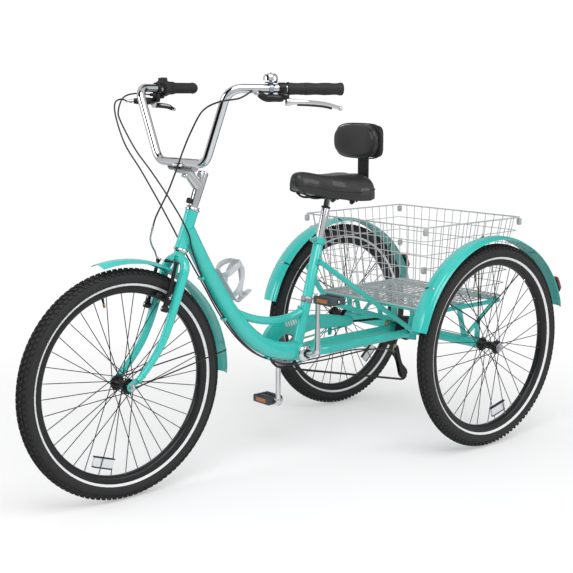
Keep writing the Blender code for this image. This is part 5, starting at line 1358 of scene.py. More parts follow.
# Bell: a chromed steel dome on a pressed steel strap round the bar, struck by a small sprung thumb
# lever.
start, along, outer, up = grip_place(1, LEFT_GRIP + 0.052)
base = start + along * 0.006 + up * (BAR_RADIUS + 0.0020)
strap_rings = [
    (0, 0.0128), (0, 0.0152), (0.0008, 0.0160), (0.0112, 0.0160), (0.012, 0.0152), (0.012, 0.0128)
]
plate_rings = [
    (0.0004, 0.0004), (0.0004, 0.0150), (0.0034, 0.0160), (0.0040, 0.0150), (0.0040, 0.0040),
    (0.0076, 0.0040), (0.0076, 0.0004),
]
strap = join(
    turned(strap_rings, start, along, 32, ring=True),
    turned(plate_rings, base, up, 28),
    brick(start + along * 0.006 - up * 0.020, [outer, along, up], [0.007, 0.011, 0.012], 0.4),
)
blued_steel = finish(
    "blued_steel", (0.36, 0.42, 0.46), (0.46, 0.52, 0.55), mottle=70.0, rough=(0.28, 0.38),
    metal=1.0,
)
build("bell_strap", strap, blued_steel, "handlebar")
lap = np.linspace(0, math.pi / 2, 14)
dome = [(0.0080, 0.0185), (0.0074, 0.0200), (0.0080, 0.0206), (0.0096, 0.0204)]
dome += [(0.0112 + 0.0148 * math.sin(a), 0.0197 * math.cos(a) ** 0.42 + 0.0003) for a in lap]
build(
    "bell_dome_piece", turned(dome, base, up, 48), chrome, "handlebar", nodes=["bell_dome"],
)
cap = [(0.0256, 0.0046), (0.0268, 0.0046), (0.0280, 0.0030), (0.0284, 0.0004)]
build("bell_cap", turned(cap, base, up, 20), plated_steel, "handlebar")
pivot = np.array(joints["bell_lever_pivot"]["pos_m"], float)
thumb = even(
    [pivot, pivot + outer * 0.014 - along * 0.002, pivot + outer * 0.025 - along * 0.004], 8
)
build(
    "bell_lever_piece",
    join(
        tube(thumb, np.linspace(0.0018, 0.0026, 8), 12, flatten=1.6),
        straight(pivot - up * 0.0020, pivot + up * 0.0020, 0.0034, 16),
    ),
    satin_plastic, "bell_lever", nodes=["bell_lever"],
)

# Seat post: a chromed tube that slides in the seat tube, drawn to a thinner neck for the saddle clamp,
# with a black stop ring.
SADDLE_CLAMP = np.array([0, 0.191853, 0.814397])
post_length = float((SADDLE_CLAMP - SEAT_TUBE_TOP) @ SEAT_UP) - 0.012
shoulder = post_length - 0.030
post_profile = [
    (-0.085, 0.0125), (shoulder - 0.004, 0.0127), (shoulder, 0.0118), (shoulder + 0.004, 0.0101),
    (post_length, 0.0100),
]
build(
    "seatpost_piece", turned(post_profile, SEAT_TUBE_TOP, SEAT_UP, 32), chrome, "seatpost",
    nodes=["seatpost"],
)
stop = [
    (0, 0.0120), (0, 0.0140), (0.001, 0.0146), (0.005, 0.0146), (0.006, 0.0140), (0.006, 0.0120)
]
build(
    "post_ring", turned(stop, SEAT_TUBE_TOP + SEAT_UP * (shoulder - 0.001), SEAT_UP, 32, ring=True),
    satin_plastic,
    "seatpost",
)

# Saddle: moulded foam in a sewn black vinyl cover, broad at the back and narrow at the nose, with a
# deep skirt and a welt along the seam. The foam is stuck to a plastic shell.
SADDLE_STATIONS = np.array([
    (-0.152, 0.016, 0.066, 0.030), (-0.145, 0.026, 0.076, 0.020), (-0.115, 0.033, 0.079, 0.013),
    (-0.075, 0.045, 0.074, 0.004), (-0.040, 0.066, 0.069, -0.004), (-0.005, 0.093, 0.066, -0.010),
    (0.035, 0.114, 0.066, -0.014), (0.070, 0.121, 0.067, -0.014), (0.100, 0.110, 0.066, -0.008),
    (0.118, 0.085, 0.060, 0.004),
])


def saddle_section(y, phi):
    """Points of the cover: crown and skirt follow the stations, the section is a squared half round."""
    half, top, skirt = (
        np.interp(y, SADDLE_STATIONS[:, 0], SADDLE_STATIONS[:, k]) for k in (1, 2, 3)
    )
    low, high = SADDLE_STATIONS[0, 0], SADDLE_STATIONS[-1, 0]
    near = np.clip(np.minimum(y - low + 0.0002, high - y + 0.0002) / 0.022, 0, 1)
    shut = np.sqrt(1 - (1 - near) ** 2)
    middle = (top + skirt) / 2 + 0.004
    top = middle + (top - middle) * (0.15 + 0.85 * shut)
    skirt = middle + (skirt - middle) * (0.25 + 0.75 * shut)
    half = half * (0.35 + 0.65 * shut)
    wide = np.sign(np.sin(phi)) * np.abs(np.sin(phi)) ** 0.80
    tall = np.abs(np.cos(phi)) ** 0.62
    dish = 0.0045 * np.exp(-((wide * half / 0.018) ** 2)) * np.clip((y + 0.09) / 0.05, 0, 1)
    return np.stack(
        [half * wide, y + 0 * wide, skirt + (top - skirt) * tall - dish * tall], axis=-1
    )


stations = np.linspace(SADDLE_STATIONS[0, 0], SADDLE_STATIONS[-1, 0], 90)[:, None]
crown = saddle_section(stations, np.linspace(-math.pi / 2, math.pi / 2, 49)[None])
for _ in range(3):
    crown[1:-1] = (crown[:-2] + 2 * crown[1:-1] + crown[2:]) / 4
hem = crown[:, [-1, 0]] * [0.93, 1, 1] + [0, 0, 0.004]
cover = np.concatenate([crown, hem], axis=1) + SADDLE_CLAMP
vinyl = finish(
    "black_vinyl", (0.020, 0.020, 0.021), (0.030, 0.030, 0.032), mottle=16.0, rough=(0.30, 0.40),
    coat=0.25, grain=0.25,
    grain_scale=620.0, grain_kind="TexVoronoi",
)
saddle = build("saddle_piece", skin(cover), vinyl, "seatpost", nodes=["saddle"])
welt_path = np.concatenate([crown[4:-3, 3], crown[-4:3:-1, -4]]) * [1.012, 1, 1] + SADDLE_CLAMP
build(
    "saddle_welt",
    tube(even(np.vstack([welt_path, welt_path[:1]]), 150)[:-1], 0.0019, 10, closed=True), vinyl,
    "seatpost",
)

# Saddle frame: a black plastic shell under the foam, bent wire rails, a plated clamp and two coil
# springs at the back.
under = [brick(SADDLE_CLAMP + [0, -0.020, 0.0180], SQUARE, [0.070, 0.200, 0.0060], 0.4)]
under.append(brick(SADDLE_CLAMP + [0, 0.052, 0.0185], SQUARE, [0.150, 0.090, 0.0060], 0.4))
for side in (1, -1):
    rail = [
        SADDLE_CLAMP + [side * 0.016, -0.118, 0.012], SADDLE_CLAMP + [side * 0.022, -0.080, -0.004],
        SADDLE_CLAMP + [side * 0.020, 0.012, -0.004], SADDLE_CLAMP + [side * 0.044, 0.066, -0.020],
    ]
    under.append(tube(through(rail, 36), 0.0035, 12))
    t = np.linspace(0, 1, 150)
    lap = t * 5.5 * 2 * math.pi
    coil = SADDLE_CLAMP + np.stack(
        [side * 0.044 + 0.0118 * np.cos(lap), 0.068 + 0.0118 * np.sin(lap), -0.022 + 0.038 * t],
        axis=1,
    )
    under.append(tube(coil, 0.0020, 8))
    under.append(straight(
        coil[0] * [0, 1, 1] + [side * 0.044, -0.012, -0.004],
        SADDLE_CLAMP + [side * 0.044, 0.068, -0.0200], 0.0070, 16,
    ))
under.append(straight(
    SADDLE_CLAMP + [-0.030, 0, -0.002], SADDLE_CLAMP + [0.030, 0, -0.002], 0.0130, 24
))
under.append(straight(
    SADDLE_CLAMP + [-0.036, 0, -0.002], SADDLE_CLAMP + [0.036, 0, -0.002], 0.0060, 6
))
build(
    "saddle_frame_piece", join(*under), satin_plastic, "seatpost", nodes=["saddle_frame"],
)

# Backrest: a foam pad in the same vinyl, on a bent flat steel bar painted black that is bolted under
# the saddle; two bolts hold the pad's shell to it.
post_low, post_high = corners_of("backrest_post")
strip_y = (post_high[1] - 0.003, post_low[2] + 0.003)
bar_way = rounded(
    [(0, post_low[1], strip_y[1]), (0, strip_y[0], strip_y[1]), (0, strip_y[0], post_high[2])],
    0.022, 10,
)
normal = np.gradient(bar_way, axis=0)[:, [0, 2, 1]] * [0, 1, -1]
normal = unit(normal) * 0.0029
outline = np.vstack([bar_way + normal, (bar_way - normal)[::-1]])[:, 1:]
build(
    "backrest_post_piece", extruded(outline, post_low[0], post_high[0]), black_wire, "seatpost",
    nodes=["backrest_post"],
)
pad_low, pad_high = corners_of("backrest_pad")
pad_middle, pad_size = (pad_low + pad_high) / 2 + [0.006, 0.005, 0], pad_high - pad_low


def pad(size, centre, round_off, rings, sides):
    """A cushion: a squared-off ball, bowed backwards at its ends as the square of the way out."""
    points, faces = brick((0, 0, 0), SQUARE, size, round_off, rings, sides)
    share = points[:, 0] / (size[0] / 2)
    points[:, 1] -= 0.010 * share**2 - 0.004
    return points + centre, faces


front_pad = pad(
    [pad_size[0] * 0.93, pad_size[1] * 0.72, pad_size[2] * 0.97],
    pad_middle - [0.004, pad_size[1] * 0.06, 0], 0.72, 41, 96,
)
backrest = build(
    "backrest_pad_piece", front_pad, vinyl, "backrest_pad", nodes=["backrest_pad"],
)
rear_shell = pad(
    [pad_size[0] * 0.92, pad_size[1] * 0.40, pad_size[2] * 0.94],
    pad_middle + [0, pad_size[1] * 0.26, 0], 0.38, 25, 64,
)
build("backrest_shell", rear_shell, satin_plastic, "backrest_pad")
lap = np.linspace(0, 2 * math.pi, 120, endpoint=False)
ring_x = pad_size[0] * 0.497 * np.sign(np.cos(lap)) * np.abs(np.cos(lap)) ** 0.5
ring_z = pad_size[2] * 0.497 * np.sign(np.sin(lap)) * np.abs(np.sin(lap)) ** 0.5
ring_y = pad_size[1] * 0.08 - 0.010 * (ring_x / (pad_size[0] / 2)) ** 2 + 0.004
welt = tube(
    even(pad_middle + np.stack([ring_x, ring_y, ring_z], axis=1), 120), 0.0020, 8, closed=True
)
build("backrest_welt", welt, vinyl, "backrest_pad")

# One-piece crank: a chromed steel bar bent through the bracket shell, flattened along its arms, with
# a boss at each end for the pedal's spindle.
ARM = float(joints["left_pedal_spin"]["pos_m"][2] - BRACKET[2])
ARM_X = 0.0950
half = SHELL_HALF + 0.0350
bar_side = np.array([(half, 0, 0), (ARM_X - 0.002, 0, 0.012), (ARM_X, 0, ARM)])
crank_line = even(rounded(np.vstack([-bar_side[::-1], bar_side]) + BRACKET, 0.009, 8), 180)
reach = np.abs(crank_line[:, 2] - BRACKET[2])
crank_shape = tube(
    crank_line,
    np.interp(reach, [0, 0.02, 0.05, 0.15, ARM], [0.0090, 0.0095, 0.0080, 0.0072, 0.0078]), 24,
)
crank_shape[0][:, 1] = BRACKET[1] + (crank_shape[0][:, 1] - BRACKET[1]) * 1.22
crank_parts = [crank_shape]
for side in (1, -1):
    boss = BRACKET + [side * ARM_X, 0, side * ARM]
    crank_parts.append(turned(
        [(-0.0075, 0.0118), (-0.0065, 0.0132), (0.0065, 0.0132), (0.0075, 0.0118)], boss, (1, 0, 0),
        32,
    ))
    crank_parts.append(straight(boss, boss + [side * 0.0960, 0, 0], 0.0047, 16))
build("crank_piece", join(*crank_parts), chrome, "crankset", nodes=["crank"])

# Pedals: slate grey plastic blocks with toothed edges, open between three ribs, on a steel spindle. An
# amber reflector is let into the front and the back.
amber = finish(
    "reflector_amber", (0.52, 0.17, 0.010), (0.34, 0.09, 0.004), mottle=420.0, rough=(0.12, 0.25),
    coat=0.6,
    grain=0.7, grain_scale=500.0, grain_kind="TexVoronoi",
)
pedal_plastic = finish(
    "pedal_plastic", (0.045, 0.060, 0.070), (0.062, 0.078, 0.088), mottle=70.0, rough=(0.42, 0.55)
)
for name in ("left_pedal", "right_pedal"):
    low, high = corners_of(name)
    centre, size = (low + high) / 2, high - low
    parts = [brick(centre, SQUARE, [size[0] * 0.98, 0.0190, 0.0190], 0.35)]
    for side in (1, -1):
        parts.append(brick(
            centre + [side * (size[0] / 2 - 0.0045), 0, 0], SQUARE, [0.009, size[1] * 0.96, 0.0210],
            0.25,
        ))
        parts.append(brick(
            centre + [0, side * (size[1] / 2 - 0.0045), 0], SQUARE,
            [size[0] * 0.96, 0.0085, 0.0215], 0.22,
        ))
        parts.append(brick(
            centre + [side * size[0] * 0.17, 0, 0], SQUARE, [0.004, size[1] * 0.9, 0.0170], 0.3
        ))
        for x in np.linspace(-0.42, 0.42, 9) * size[0]:
            for up in (1, -1):
                tooth = centre + [x, side * (size[1] / 2 - 0.0040), up * 0.0112]
                parts.append(brick(tooth, SQUARE, [0.0045, 0.0060, 0.0036], 0.6, 5, 8))
    build(name + "_piece", join(*parts), pedal_plastic, name, nodes=[name])
    panes = [
        brick(
            centre + [0, side * (size[1] / 2 - 0.0004), 0], SQUARE,
            [size[0] * 0.56, 0.0020, 0.0120], 0.2,
        )
        for side in (1, -1)
    ]
    build(name + "_reflectors", join(*panes), amber, name)
    side = 1 if name == "left_pedal" else -1
    dust_cap = turned(
        [(0, 0.0078), (0.0016, 0.0078), (0.0024, 0.0060)],
        centre + [side * (size[0] / 2 - 0.0012), 0, 0], [side, 0, 0], 20,
    )
    build(name + "_cap", dust_cap, black_wire, name)

# Chainring: a stamped steel ring with thirty-two teeth, on five short arms round a centre that the
# crank carries.
CHAIN_X = float((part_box("chainring")[0][0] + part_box("chainring")[1][0]) / 2)
PITCH = 0.0127
RING_TEETH = 32


def sprocket(centre, x0, x1, tip, teeth, depth, bore):
    """A toothed ring: radius ripples once a tooth, squared up, from the bore outwards."""
    turn = np.linspace(0, 2 * math.pi, teeth * 8, endpoint=False)
    wave = np.cos(teeth * turn)
    outer = tip - depth / 2 + depth / 2 * np.sign(wave) * np.abs(wave) ** 0.6
    rows = []
    inner, eased, thick = np.full_like(turn, bore), outer - 0.0006, x1 - x0
    for x, radius in (
        (x0, inner), (x0, eased), (x0 + thick * 0.3, outer),
        (x0 + thick * 0.7, outer), (x1, eased), (x1, inner),
    ):
        flat = [np.full_like(turn, x), centre[1] + radius * np.cos(turn)]
        rows.append(np.stack([*flat, centre[2] + radius * np.sin(turn)], axis=1))
    return skin(np.array(rows), close=True)


ring_tip = float(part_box("chainring")[1][2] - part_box("chainring")[0][2]) / 2
ring = [sprocket(BRACKET, CHAIN_X - 0.0014, CHAIN_X + 0.0014, ring_tip, RING_TEETH, 0.0034, 0.0440)]
for k in range(5):
    turn = 2 * math.pi * (k + 0.5) / 5
    out = np.array([0, math.cos(turn), math.sin(turn)])
    ring.append(brick(
        BRACKET + out * 0.0320 + [CHAIN_X, 0, 0], [[1, 0, 0], out, np.cross([1, 0, 0], out)],
        [0.0026, 0.0320, 0.0150], 0.4,
    ))
ring.append(turned(
    [(-0.0014, 0.0100), (-0.0014, 0.0190), (0.0014, 0.0190), (0.0014, 0.0100)],
    BRACKET + [CHAIN_X, 0, 0], (1, 0, 0), 40, ring=True,
))
build("chainring_piece", join(*ring), brushed, "crankset", nodes=["chainring"])

# Chain guard: pressed steel, enamelled; two plates with rolled rims, joined by a lip along the top,
# with the chain between them. Each has part of a disc round the chainring and a bar back along the
# chain. It hangs from a short bracket, and five white slots are marked on each plate.
GUARD_X = CHAIN_X - 0.0060
GUARD_DISC = 0.1007
disc_turns = np.radians(np.linspace(176, 62, 40))
guard_outline = [(GUARD_DISC * math.cos(a), GUARD_DISC * math.sin(a)) for a in disc_turns]
guard_outline += [(0.110, 0.0910), (0.150, 0.0890), (0.200, 0.0810), (0.262, 0.0680)]
guard_outline += [
    (0.279 + 0.0140 * math.cos(a), 0.0530 + 0.0150 * math.sin(a))
    for a in np.radians(np.linspace(80, -80, 9))
]
guard_outline += [(0.262, 0.0385), (0.200, 0.0420), (0.120, 0.0470)]
opening_turns = np.radians(np.linspace(48, 176, 24))
guard_outline += [(0.047 * math.cos(a), 0.047 * math.sin(a)) for a in opening_turns]
guard_outline = np.array(guard_outline) + BRACKET[1:]
rim = np.column_stack([np.full(len(guard_outline), GUARD_X), guard_outline])
INNER_X = CHAIN_X + 0.0072
inner_rim = rim + [INNER_X - GUARD_X, 0, 0]
TOP_EDGE = 53
near_lip, far_lip = rim[:TOP_EDGE], inner_rim[:TOP_EDGE]
lip_drop = [0, 0, -0.0014]
lip = np.stack([near_lip, far_lip, far_lip + lip_drop, near_lip + lip_drop])
tab_at = [GUARD_X + 0.0030, BRACKET[1] + 0.198, REAR_AXLE[2] + 0.032]
build(
    "chain_guard_piece",
    join(
        extruded(guard_outline, GUARD_X - 0.0008, GUARD_X + 0.0008),
        extruded(guard_outline, INNER_X - 0.0008, INNER_X + 0.0008),
        tube(rim, 0.0020, 10, closed=True),
        tube(inner_rim, 0.0020, 10, closed=True),
        skin(lip, close=True),
        brick(tab_at, SQUARE, [0.0026, 0.0170, 0.0400], 0.3),
    ),
    enamel, "frame", nodes=["chain_guard"],
)
white_enamel = finish(
    "white_enamel", (0.80, 0.81, 0.82), (0.70, 0.71, 0.72), mottle=30.0, rough=(0.25, 0.36),
    coat=0.4,
)
lean = np.array([[1, 0, 0], [0, 0.94, 0.34], [0, -0.34, 0.94]])
slots = [
    brick(
        [x, BRACKET[1] - 0.0010 + 0.0104 * k, BRACKET[2] + 0.0800], lean, [0.0008, 0.0062, 0.0200],
        0.4,
    )
    for x in (INNER_X + 0.0010, GUARD_X - 0.0010)
    for k in range(5)
]
build("guard_slots", join(*slots), white_enamel, "frame")

# Chain: half-inch pitch links, pairs of dark steel side plates on rollers, laid round the chainring,
# the sprocket and both pulleys.
GUIDE = np.array(joints["guide_pulley_spin"]["pos_m"], float)
TENSION = np.array(joints["tension_pulley_spin"]["pos_m"], float)
PULLEY = 0.0170
WHEEL_TEETH = 16


def belt(circles):
    """Tangent lines and arcs round (y, z, radius, turn) circles in order, as one closed path."""
    lines, path = [], []
    for (y1, z1, r1, s1), (y2, z2, r2, s2) in zip(circles, circles[1:] + circles[:1]):
        gap = np.array([y2 - y1, z2 - z1])
        length = np.linalg.norm(gap)
        share = (s1 * r1 - s2 * r2) / length
        along = gap / length
        normal = along * share + np.array([along[1], -along[0]]) * math.sqrt(1 - share**2)
        lines.append((np.array([y1, z1]) + s1 * r1 * normal, np.array([y2, z2]) + s2 * r2 * normal))
    for k, (y, z, r, s) in enumerate(circles):
        enter, leave = lines[k - 1][1] - [y, z], lines[k][0] - [y, z]
        first = math.atan2(enter[1], enter[0])
        sweep = (math.atan2(leave[1], leave[0]) - first) * s % (2 * math.pi)
        turn = first + s * sweep * np.linspace(0, 1, 40)
        path.append(np.stack([y + r * np.cos(turn), z + r * np.sin(turn)], axis=1))
    return np.vstack(path)


loop = belt([
    (*BRACKET[1:], RING_TEETH * PITCH / (2 * math.pi), -1),
    (*REAR_AXLE[1:], WHEEL_TEETH * PITCH / (2 * math.pi), -1),
    (*GUIDE[1:], PULLEY + 0.0035, 1), (*TENSION[1:], PULLEY + 0.0035, -1),
])
loop = np.column_stack([np.full(len(loop), CHAIN_X), loop])
loop = np.vstack([loop, loop[:1]])
loop_length = np.linalg.norm(np.diff(loop, axis=0), axis=1).sum()
links = 2 * round(loop_length / PITCH / 2)
pins = even(loop, links + 1)
ahead = np.diff(pins, axis=0)
middle = (pins[1:] + pins[:-1]) / 2
rise = np.cross(unit(ahead), [1, 0, 0])
lap = np.linspace(0, 2 * math.pi, 12, endpoint=False)
shape = np.stack(
    [
        (0.5 * PITCH + 0.0034) * np.cos(lap),
        0.0034 * np.sign(np.sin(lap)) * np.abs(np.sin(lap)) ** 0.6,
    ],
    axis=1,
)
plate_shell = []
for sign in (1, -1):
    offset = np.where(np.arange(links) % 2 == 0, 0.0026, 0.0036)[:, None, None, None] * sign
    rows = []
    for thick in (-0.0004, 0.0004):
        flat = middle[:, None] + shape[None, :, :1] * (ahead / PITCH)[:, None]
        flat = flat + shape[None, :, 1:] * rise[:, None]
        rows.append(flat + (offset[:, 0] + thick) * [1.0, 0, 0])
    plate_shell.append(np.stack(rows, axis=1))
link_points = np.concatenate(plate_shell)
plate_faces = skin(link_points[0])[1]
corners = 2 * len(lap)
link_faces = [
    [f + corners * k for f in face] for k in range(len(link_points)) for face in plate_faces
]
rollers = rods(pins[:-1] - [0.0044, 0, 0], pins[:-1] + [0.0044, 0, 0], 0.0030, 8)
chain_steel = finish(
    "chain_steel", (0.045, 0.044, 0.043), (0.085, 0.083, 0.080), mottle=220.0, rough=(0.34, 0.50),
    metal=0.9,
)
build(
    "chain_piece", join((link_points.reshape(-1, 3), link_faces), rollers), chain_steel, "frame",
    nodes=["chain"],
)

# Freewheel: seven dark steel sprockets, each a little smaller than the one inside it, on a ribbed body
# that turns with the axle.
FREE_X = -0.0600
cogs = []
for k, teeth in enumerate((16, 16, 16, 16, 15, 14, 13)):
    x = FREE_X - 0.0112 + 0.0032 * k
    tip = teeth * PITCH / (2 * math.pi) - 0.0040
    cogs.append(sprocket(REAR_AXLE, x + 0.0006, x + 0.0024, tip, teeth, 0.0032, 0.0090))
cogs.append(turned(
    [(-0.0112, 0.0085), (-0.0112, 0.0200), (0.0112, 0.0180), (0.0112, 0.0085)],
    REAR_AXLE + [FREE_X, 0, 0], (1, 0, 0), 32, ring=True,
))
build("freewheel_piece", join(*cogs), brushed, "freewheel", nodes=["freewheel"])

# Derailleur: a black cast body on the hanger, a cage of two stamped plates, and two toothed plastic
# pulleys that take up the chain.
outer_x = CHAIN_X - 0.0170
knuckle = np.array([outer_x - 0.004, REAR_AXLE[1] + 0.006, REAR_AXLE[2] - 0.0300])
cage_pivot = np.array([outer_x - 0.004, GUIDE[1] + 0.002, GUIDE[2] + 0.016])
body_line = even([knuckle, cage_pivot], 12)
build(
    "derailleur_body_piece",
    join(
        tube(body_line, np.linspace(0.0092, 0.0078, 12), 20),
        turned(
            [(-0.010, 0.0100), (-0.009, 0.0118), (0.003, 0.0118), (0.004, 0.0105)], knuckle,
            (1, 0, 0), 28,
        ),
        brick((knuckle + cage_pivot) / 2 + [0, -0.011, 0.002], SQUARE, [0.014, 0.010, 0.026], 0.4),
        turned([(-0.007, 0.0080), (-0.006, 0.0092), (0.004, 0.0092)], cage_pivot, (1, 0, 0), 24),
    ),
    satin_plastic, "derailleur_body", nodes=["derailleur_body"],
)
adjuster = turned(
    [(0, 0.0042), (0.006, 0.0042), (0.007, 0.0034), (0.014, 0.0026)],
    (knuckle + cage_pivot) / 2 + [0, -0.015, 0.004], (0, -1, 0.15), 14,
)
build(
    "derailleur_adjuster",
    join(adjuster, bolt(knuckle - [0.010, 0, 0], (-1, 0, 0), 0.0060, 0.0050)), black_anodised,
    "derailleur_body",
)
down = unit(TENSION - GUIDE)
square = np.cross([1, 0, 0], down)
lap = np.linspace(0, math.pi, 14)
cage_outline = [GUIDE + (np.cos(a) * square - np.sin(a) * down) * 0.0115 for a in lap]
cage_outline += [(GUIDE + TENSION) / 2 - square * 0.0065]
cage_outline += [TENSION - (np.cos(a) * square - np.sin(a) * down) * 0.0115 for a in lap]
cage_outline += [(GUIDE + TENSION) / 2 + square * 0.0065]
cage_outline = np.array(cage_outline)[:, 1:]
cage_parts = [extruded(cage_outline, x, x + 0.0018) for x in (CHAIN_X - 0.0093, CHAIN_X + 0.0057)]
for at in (GUIDE, TENSION):
    cage_parts.append(straight(
        [CHAIN_X - 0.0125, *at[1:]], [CHAIN_X + 0.0090, *at[1:]], 0.0042, 12
    ))
build(
    "derailleur_cage_piece", join(*cage_parts), black_anodised, "derailleur_cage",
    nodes=["derailleur_cage"],
)
cream_plastic = finish(
    "cream_plastic", (0.70, 0.64, 0.47), (0.62, 0.56, 0.40), mottle=90.0, rough=(0.34, 0.44)
)
for name, at in (("guide_pulley", GUIDE), ("tension_pulley", TENSION)):
    at = np.array([CHAIN_X, *at[1:]])
    wheel = sprocket(at, CHAIN_X - 0.0018, CHAIN_X + 0.0018, PULLEY - 0.0004, 11, 0.0040, 0.0046)
    build(
        name + "_piece", wheel, cream_plastic if name == "guide_pulley" else satin_plastic, name,
        nodes=[name],
    )

# Rear brake: a plated drum in a black pressed housing beside the sprockets, worked by a short arm that
# the cable pulls.
drum_at = np.array([-0.0190, *REAR_AXLE[1:]])
housing_rings = [
    (-0.0110, 0.0090), (-0.0110, 0.0380), (-0.0095, 0.0412), (0.0095, 0.0420), (0.0110, 0.0405),
    (0.0110, 0.0300), (0.0080, 0.0280), (0.0080, 0.0120), (0.0110, 0.0110), (0.0110, 0.0090),
]
offset = np.array([0, -0.0480, -0.0200])
out = unit(offset)
ears = [
    brick(
        drum_at + out * 0.0440 + [x, 0, 0], [[1, 0, 0], out, np.cross([1, 0, 0], out)],
        [0.0030, 0.030, 0.010], 0.4,
    )
    for x in (-0.0058, 0.0058)
]
build(
    "rear_brake_housing_piece",
    join(turned(housing_rings, drum_at, (1, 0, 0), 56, ring=True), *ears), black_anodised, "frame",
    nodes=["rear_brake_housing"],
)
pivot = drum_at + offset
arm_line = even([pivot, pivot + [0, -0.010, -0.040]], 10)
build(
    "rear_brake_arm_piece",
    join(
        straight(pivot - [0.004, 0, 0], pivot + [0.004, 0, 0], 0.0050, 16),
        tube(arm_line, 0.0036, 12),
    ),
    black_anodised, "rear_brake_arm", nodes=["rear_brake_arm"],
)
build(
    "cable_clamp", bolt(arm_line[-2] + [0.0030, 0, 0], (1, 0, 0), 0.0042, 0.0045), yellow_plated,
    "rear_brake_arm",
)

# Basket: white-coated steel wire. Upright wires run down each side and across under the floor, level
# wires go round outside them, a thick wire forms the rim, and clear plastic clips close the corners.
basket_low, basket_high = corners_of("basket")
TAPER_X, TAPER_Y = 0.0440, 0.0340
WIRE = 0.0016
top_half = (basket_high - basket_low)[:2] / 2 - WIRE
low_half = top_half - [TAPER_X, TAPER_Y]
floor_z, rim_z = basket_low[2] + WIRE, basket_high[2] - WIRE
COLUMNS = {0: 15, 1: 13}
LEVELS = 6


def basket_ring(share):
    """Half sizes and height at a share of the way up the sides."""
    half = low_half + (top_half - low_half) * share
    return half, floor_z + (rim_z - floor_z) * share


wires = []
for axis in (0, 1):
    other = 1 - axis
    for share in np.linspace(-1, 1, COLUMNS[axis] + 1)[1:-1]:
        points = []
        for side, level in ((-1, 1.0), (-1, 0.0), (1, 0.0), (1, 1.0)):
            half, z = basket_ring(level)
            point = np.zeros(3)
            point[axis], point[other], point[2] = share * half[axis], side * half[other], z
            points.append(point + [0, REAR_AXLE[1], 0])
        wires.append(tube(rounded(points, 0.008, 5), WIRE * 0.85, 8))
for share in np.linspace(0, 1, LEVELS + 1):
    half, z = basket_ring(share)
    thick = WIRE * (1.5 if share in (0.0, 1.0) else 0.85)
    corners = [
        np.array([x * half[0], y * half[1] + REAR_AXLE[1], z])
        for x, y in ((0, -1), (1, -1), (1, 1), (-1, 1), (-1, -1), (0, -1))
    ]
    wires.append(tube(rounded(corners, 0.012, 6)[:-1], thick, 8, closed=True))
for share in np.linspace(-1, 1, 27)[1:-1]:
    start = np.array([share * low_half[0], REAR_AXLE[1] - low_half[1], floor_z + 2 * WIRE])
    wires.append(tube([start, start + [0, 2 * low_half[1], 0]], WIRE * 0.85, 6))
coated = finish(
    "white_coated_wire", (0.50, 0.51, 0.52), (0.44, 0.45, 0.46), mottle=60.0, rough=(0.32, 0.44),
    coat=0.2,
)
build("basket_piece", join(*wires), coated, "frame", nodes=["basket"])
clips = []
for x in (1, -1):
    for y in (1, -1):
        for share in (0.96, 0.50):
            half, z = basket_ring(share)
            at = np.array([x * half[0], REAR_AXLE[1] + y * half[1], z])
            clips.append(brick(
                at - [x * 0.002, y * 0.002, 0.004], SQUARE, [0.014, 0.014, 0.022], 0.4
            ))
clear_white = finish(
    "clip_plastic", (0.60, 0.61, 0.62), (0.52, 0.53, 0.54), mottle=40.0, rough=(0.25, 0.35),
    Transmission_Weight=0.35,
)
build("basket_clips", join(*clips), clear_white, "frame")

# Bottle cage: one moulding of translucent grey plastic, screwed to the down tube; a back strip, two
# slanting arms that meet in a broad band in front, and a foot.
cage_path = bezier(*NECK_POINTS, 14)
low, high = cage_path[4], cage_path[2]
along = unit(high - low)
up = np.cross(along, [1, 0, 0])
up = up * math.copysign(1, up[2])
lift = NECK_RADIUS + 0.0055
BOTTLE = 0.0385
axis_low = low + up * (lift + 0.040) - along * 0.008
cage_axes = np.array([[1, 0, 0], along, up])
strap = brick((low + high) / 2 + up * (lift + 0.002), cage_axes, [0.024, 0.124, 0.0034], 0.25)


BAND_SECTION = (
    (-1, -0.6), (-1, 0.6), (-0.8, 1), (0.8, 1), (1, 0.6), (1, -0.6), (0.8, -1), (-0.8, -1),
)


def cage_band(points, width, thick=0.0022):
    """A flat moulded band: a rectangle carried along points, its broad side along the bottle."""
    path = through(points, 60)
    ahead = unit(np.gradient(path, axis=0))
    out = unit(np.cross(ahead, along))
    wide = np.cross(out, ahead)
    width = np.broadcast_to(width, (60,))[:, None]
    rows = [path + wide * width / 2 * a + out * thick / 2 * b for a, b in BAND_SECTION]
    return skin(np.stack(rows, axis=1))


def round_bottle(turn, height, share=1.0):
    """A point on the bottle: turn from the tube's side, height along its axis, share of its radius."""
    a = math.radians(turn)
    return axis_low + along * height + BOTTLE * share * (
        np.array([1.0, 0, 0]) * math.sin(a) - up * math.cos(a)
    )


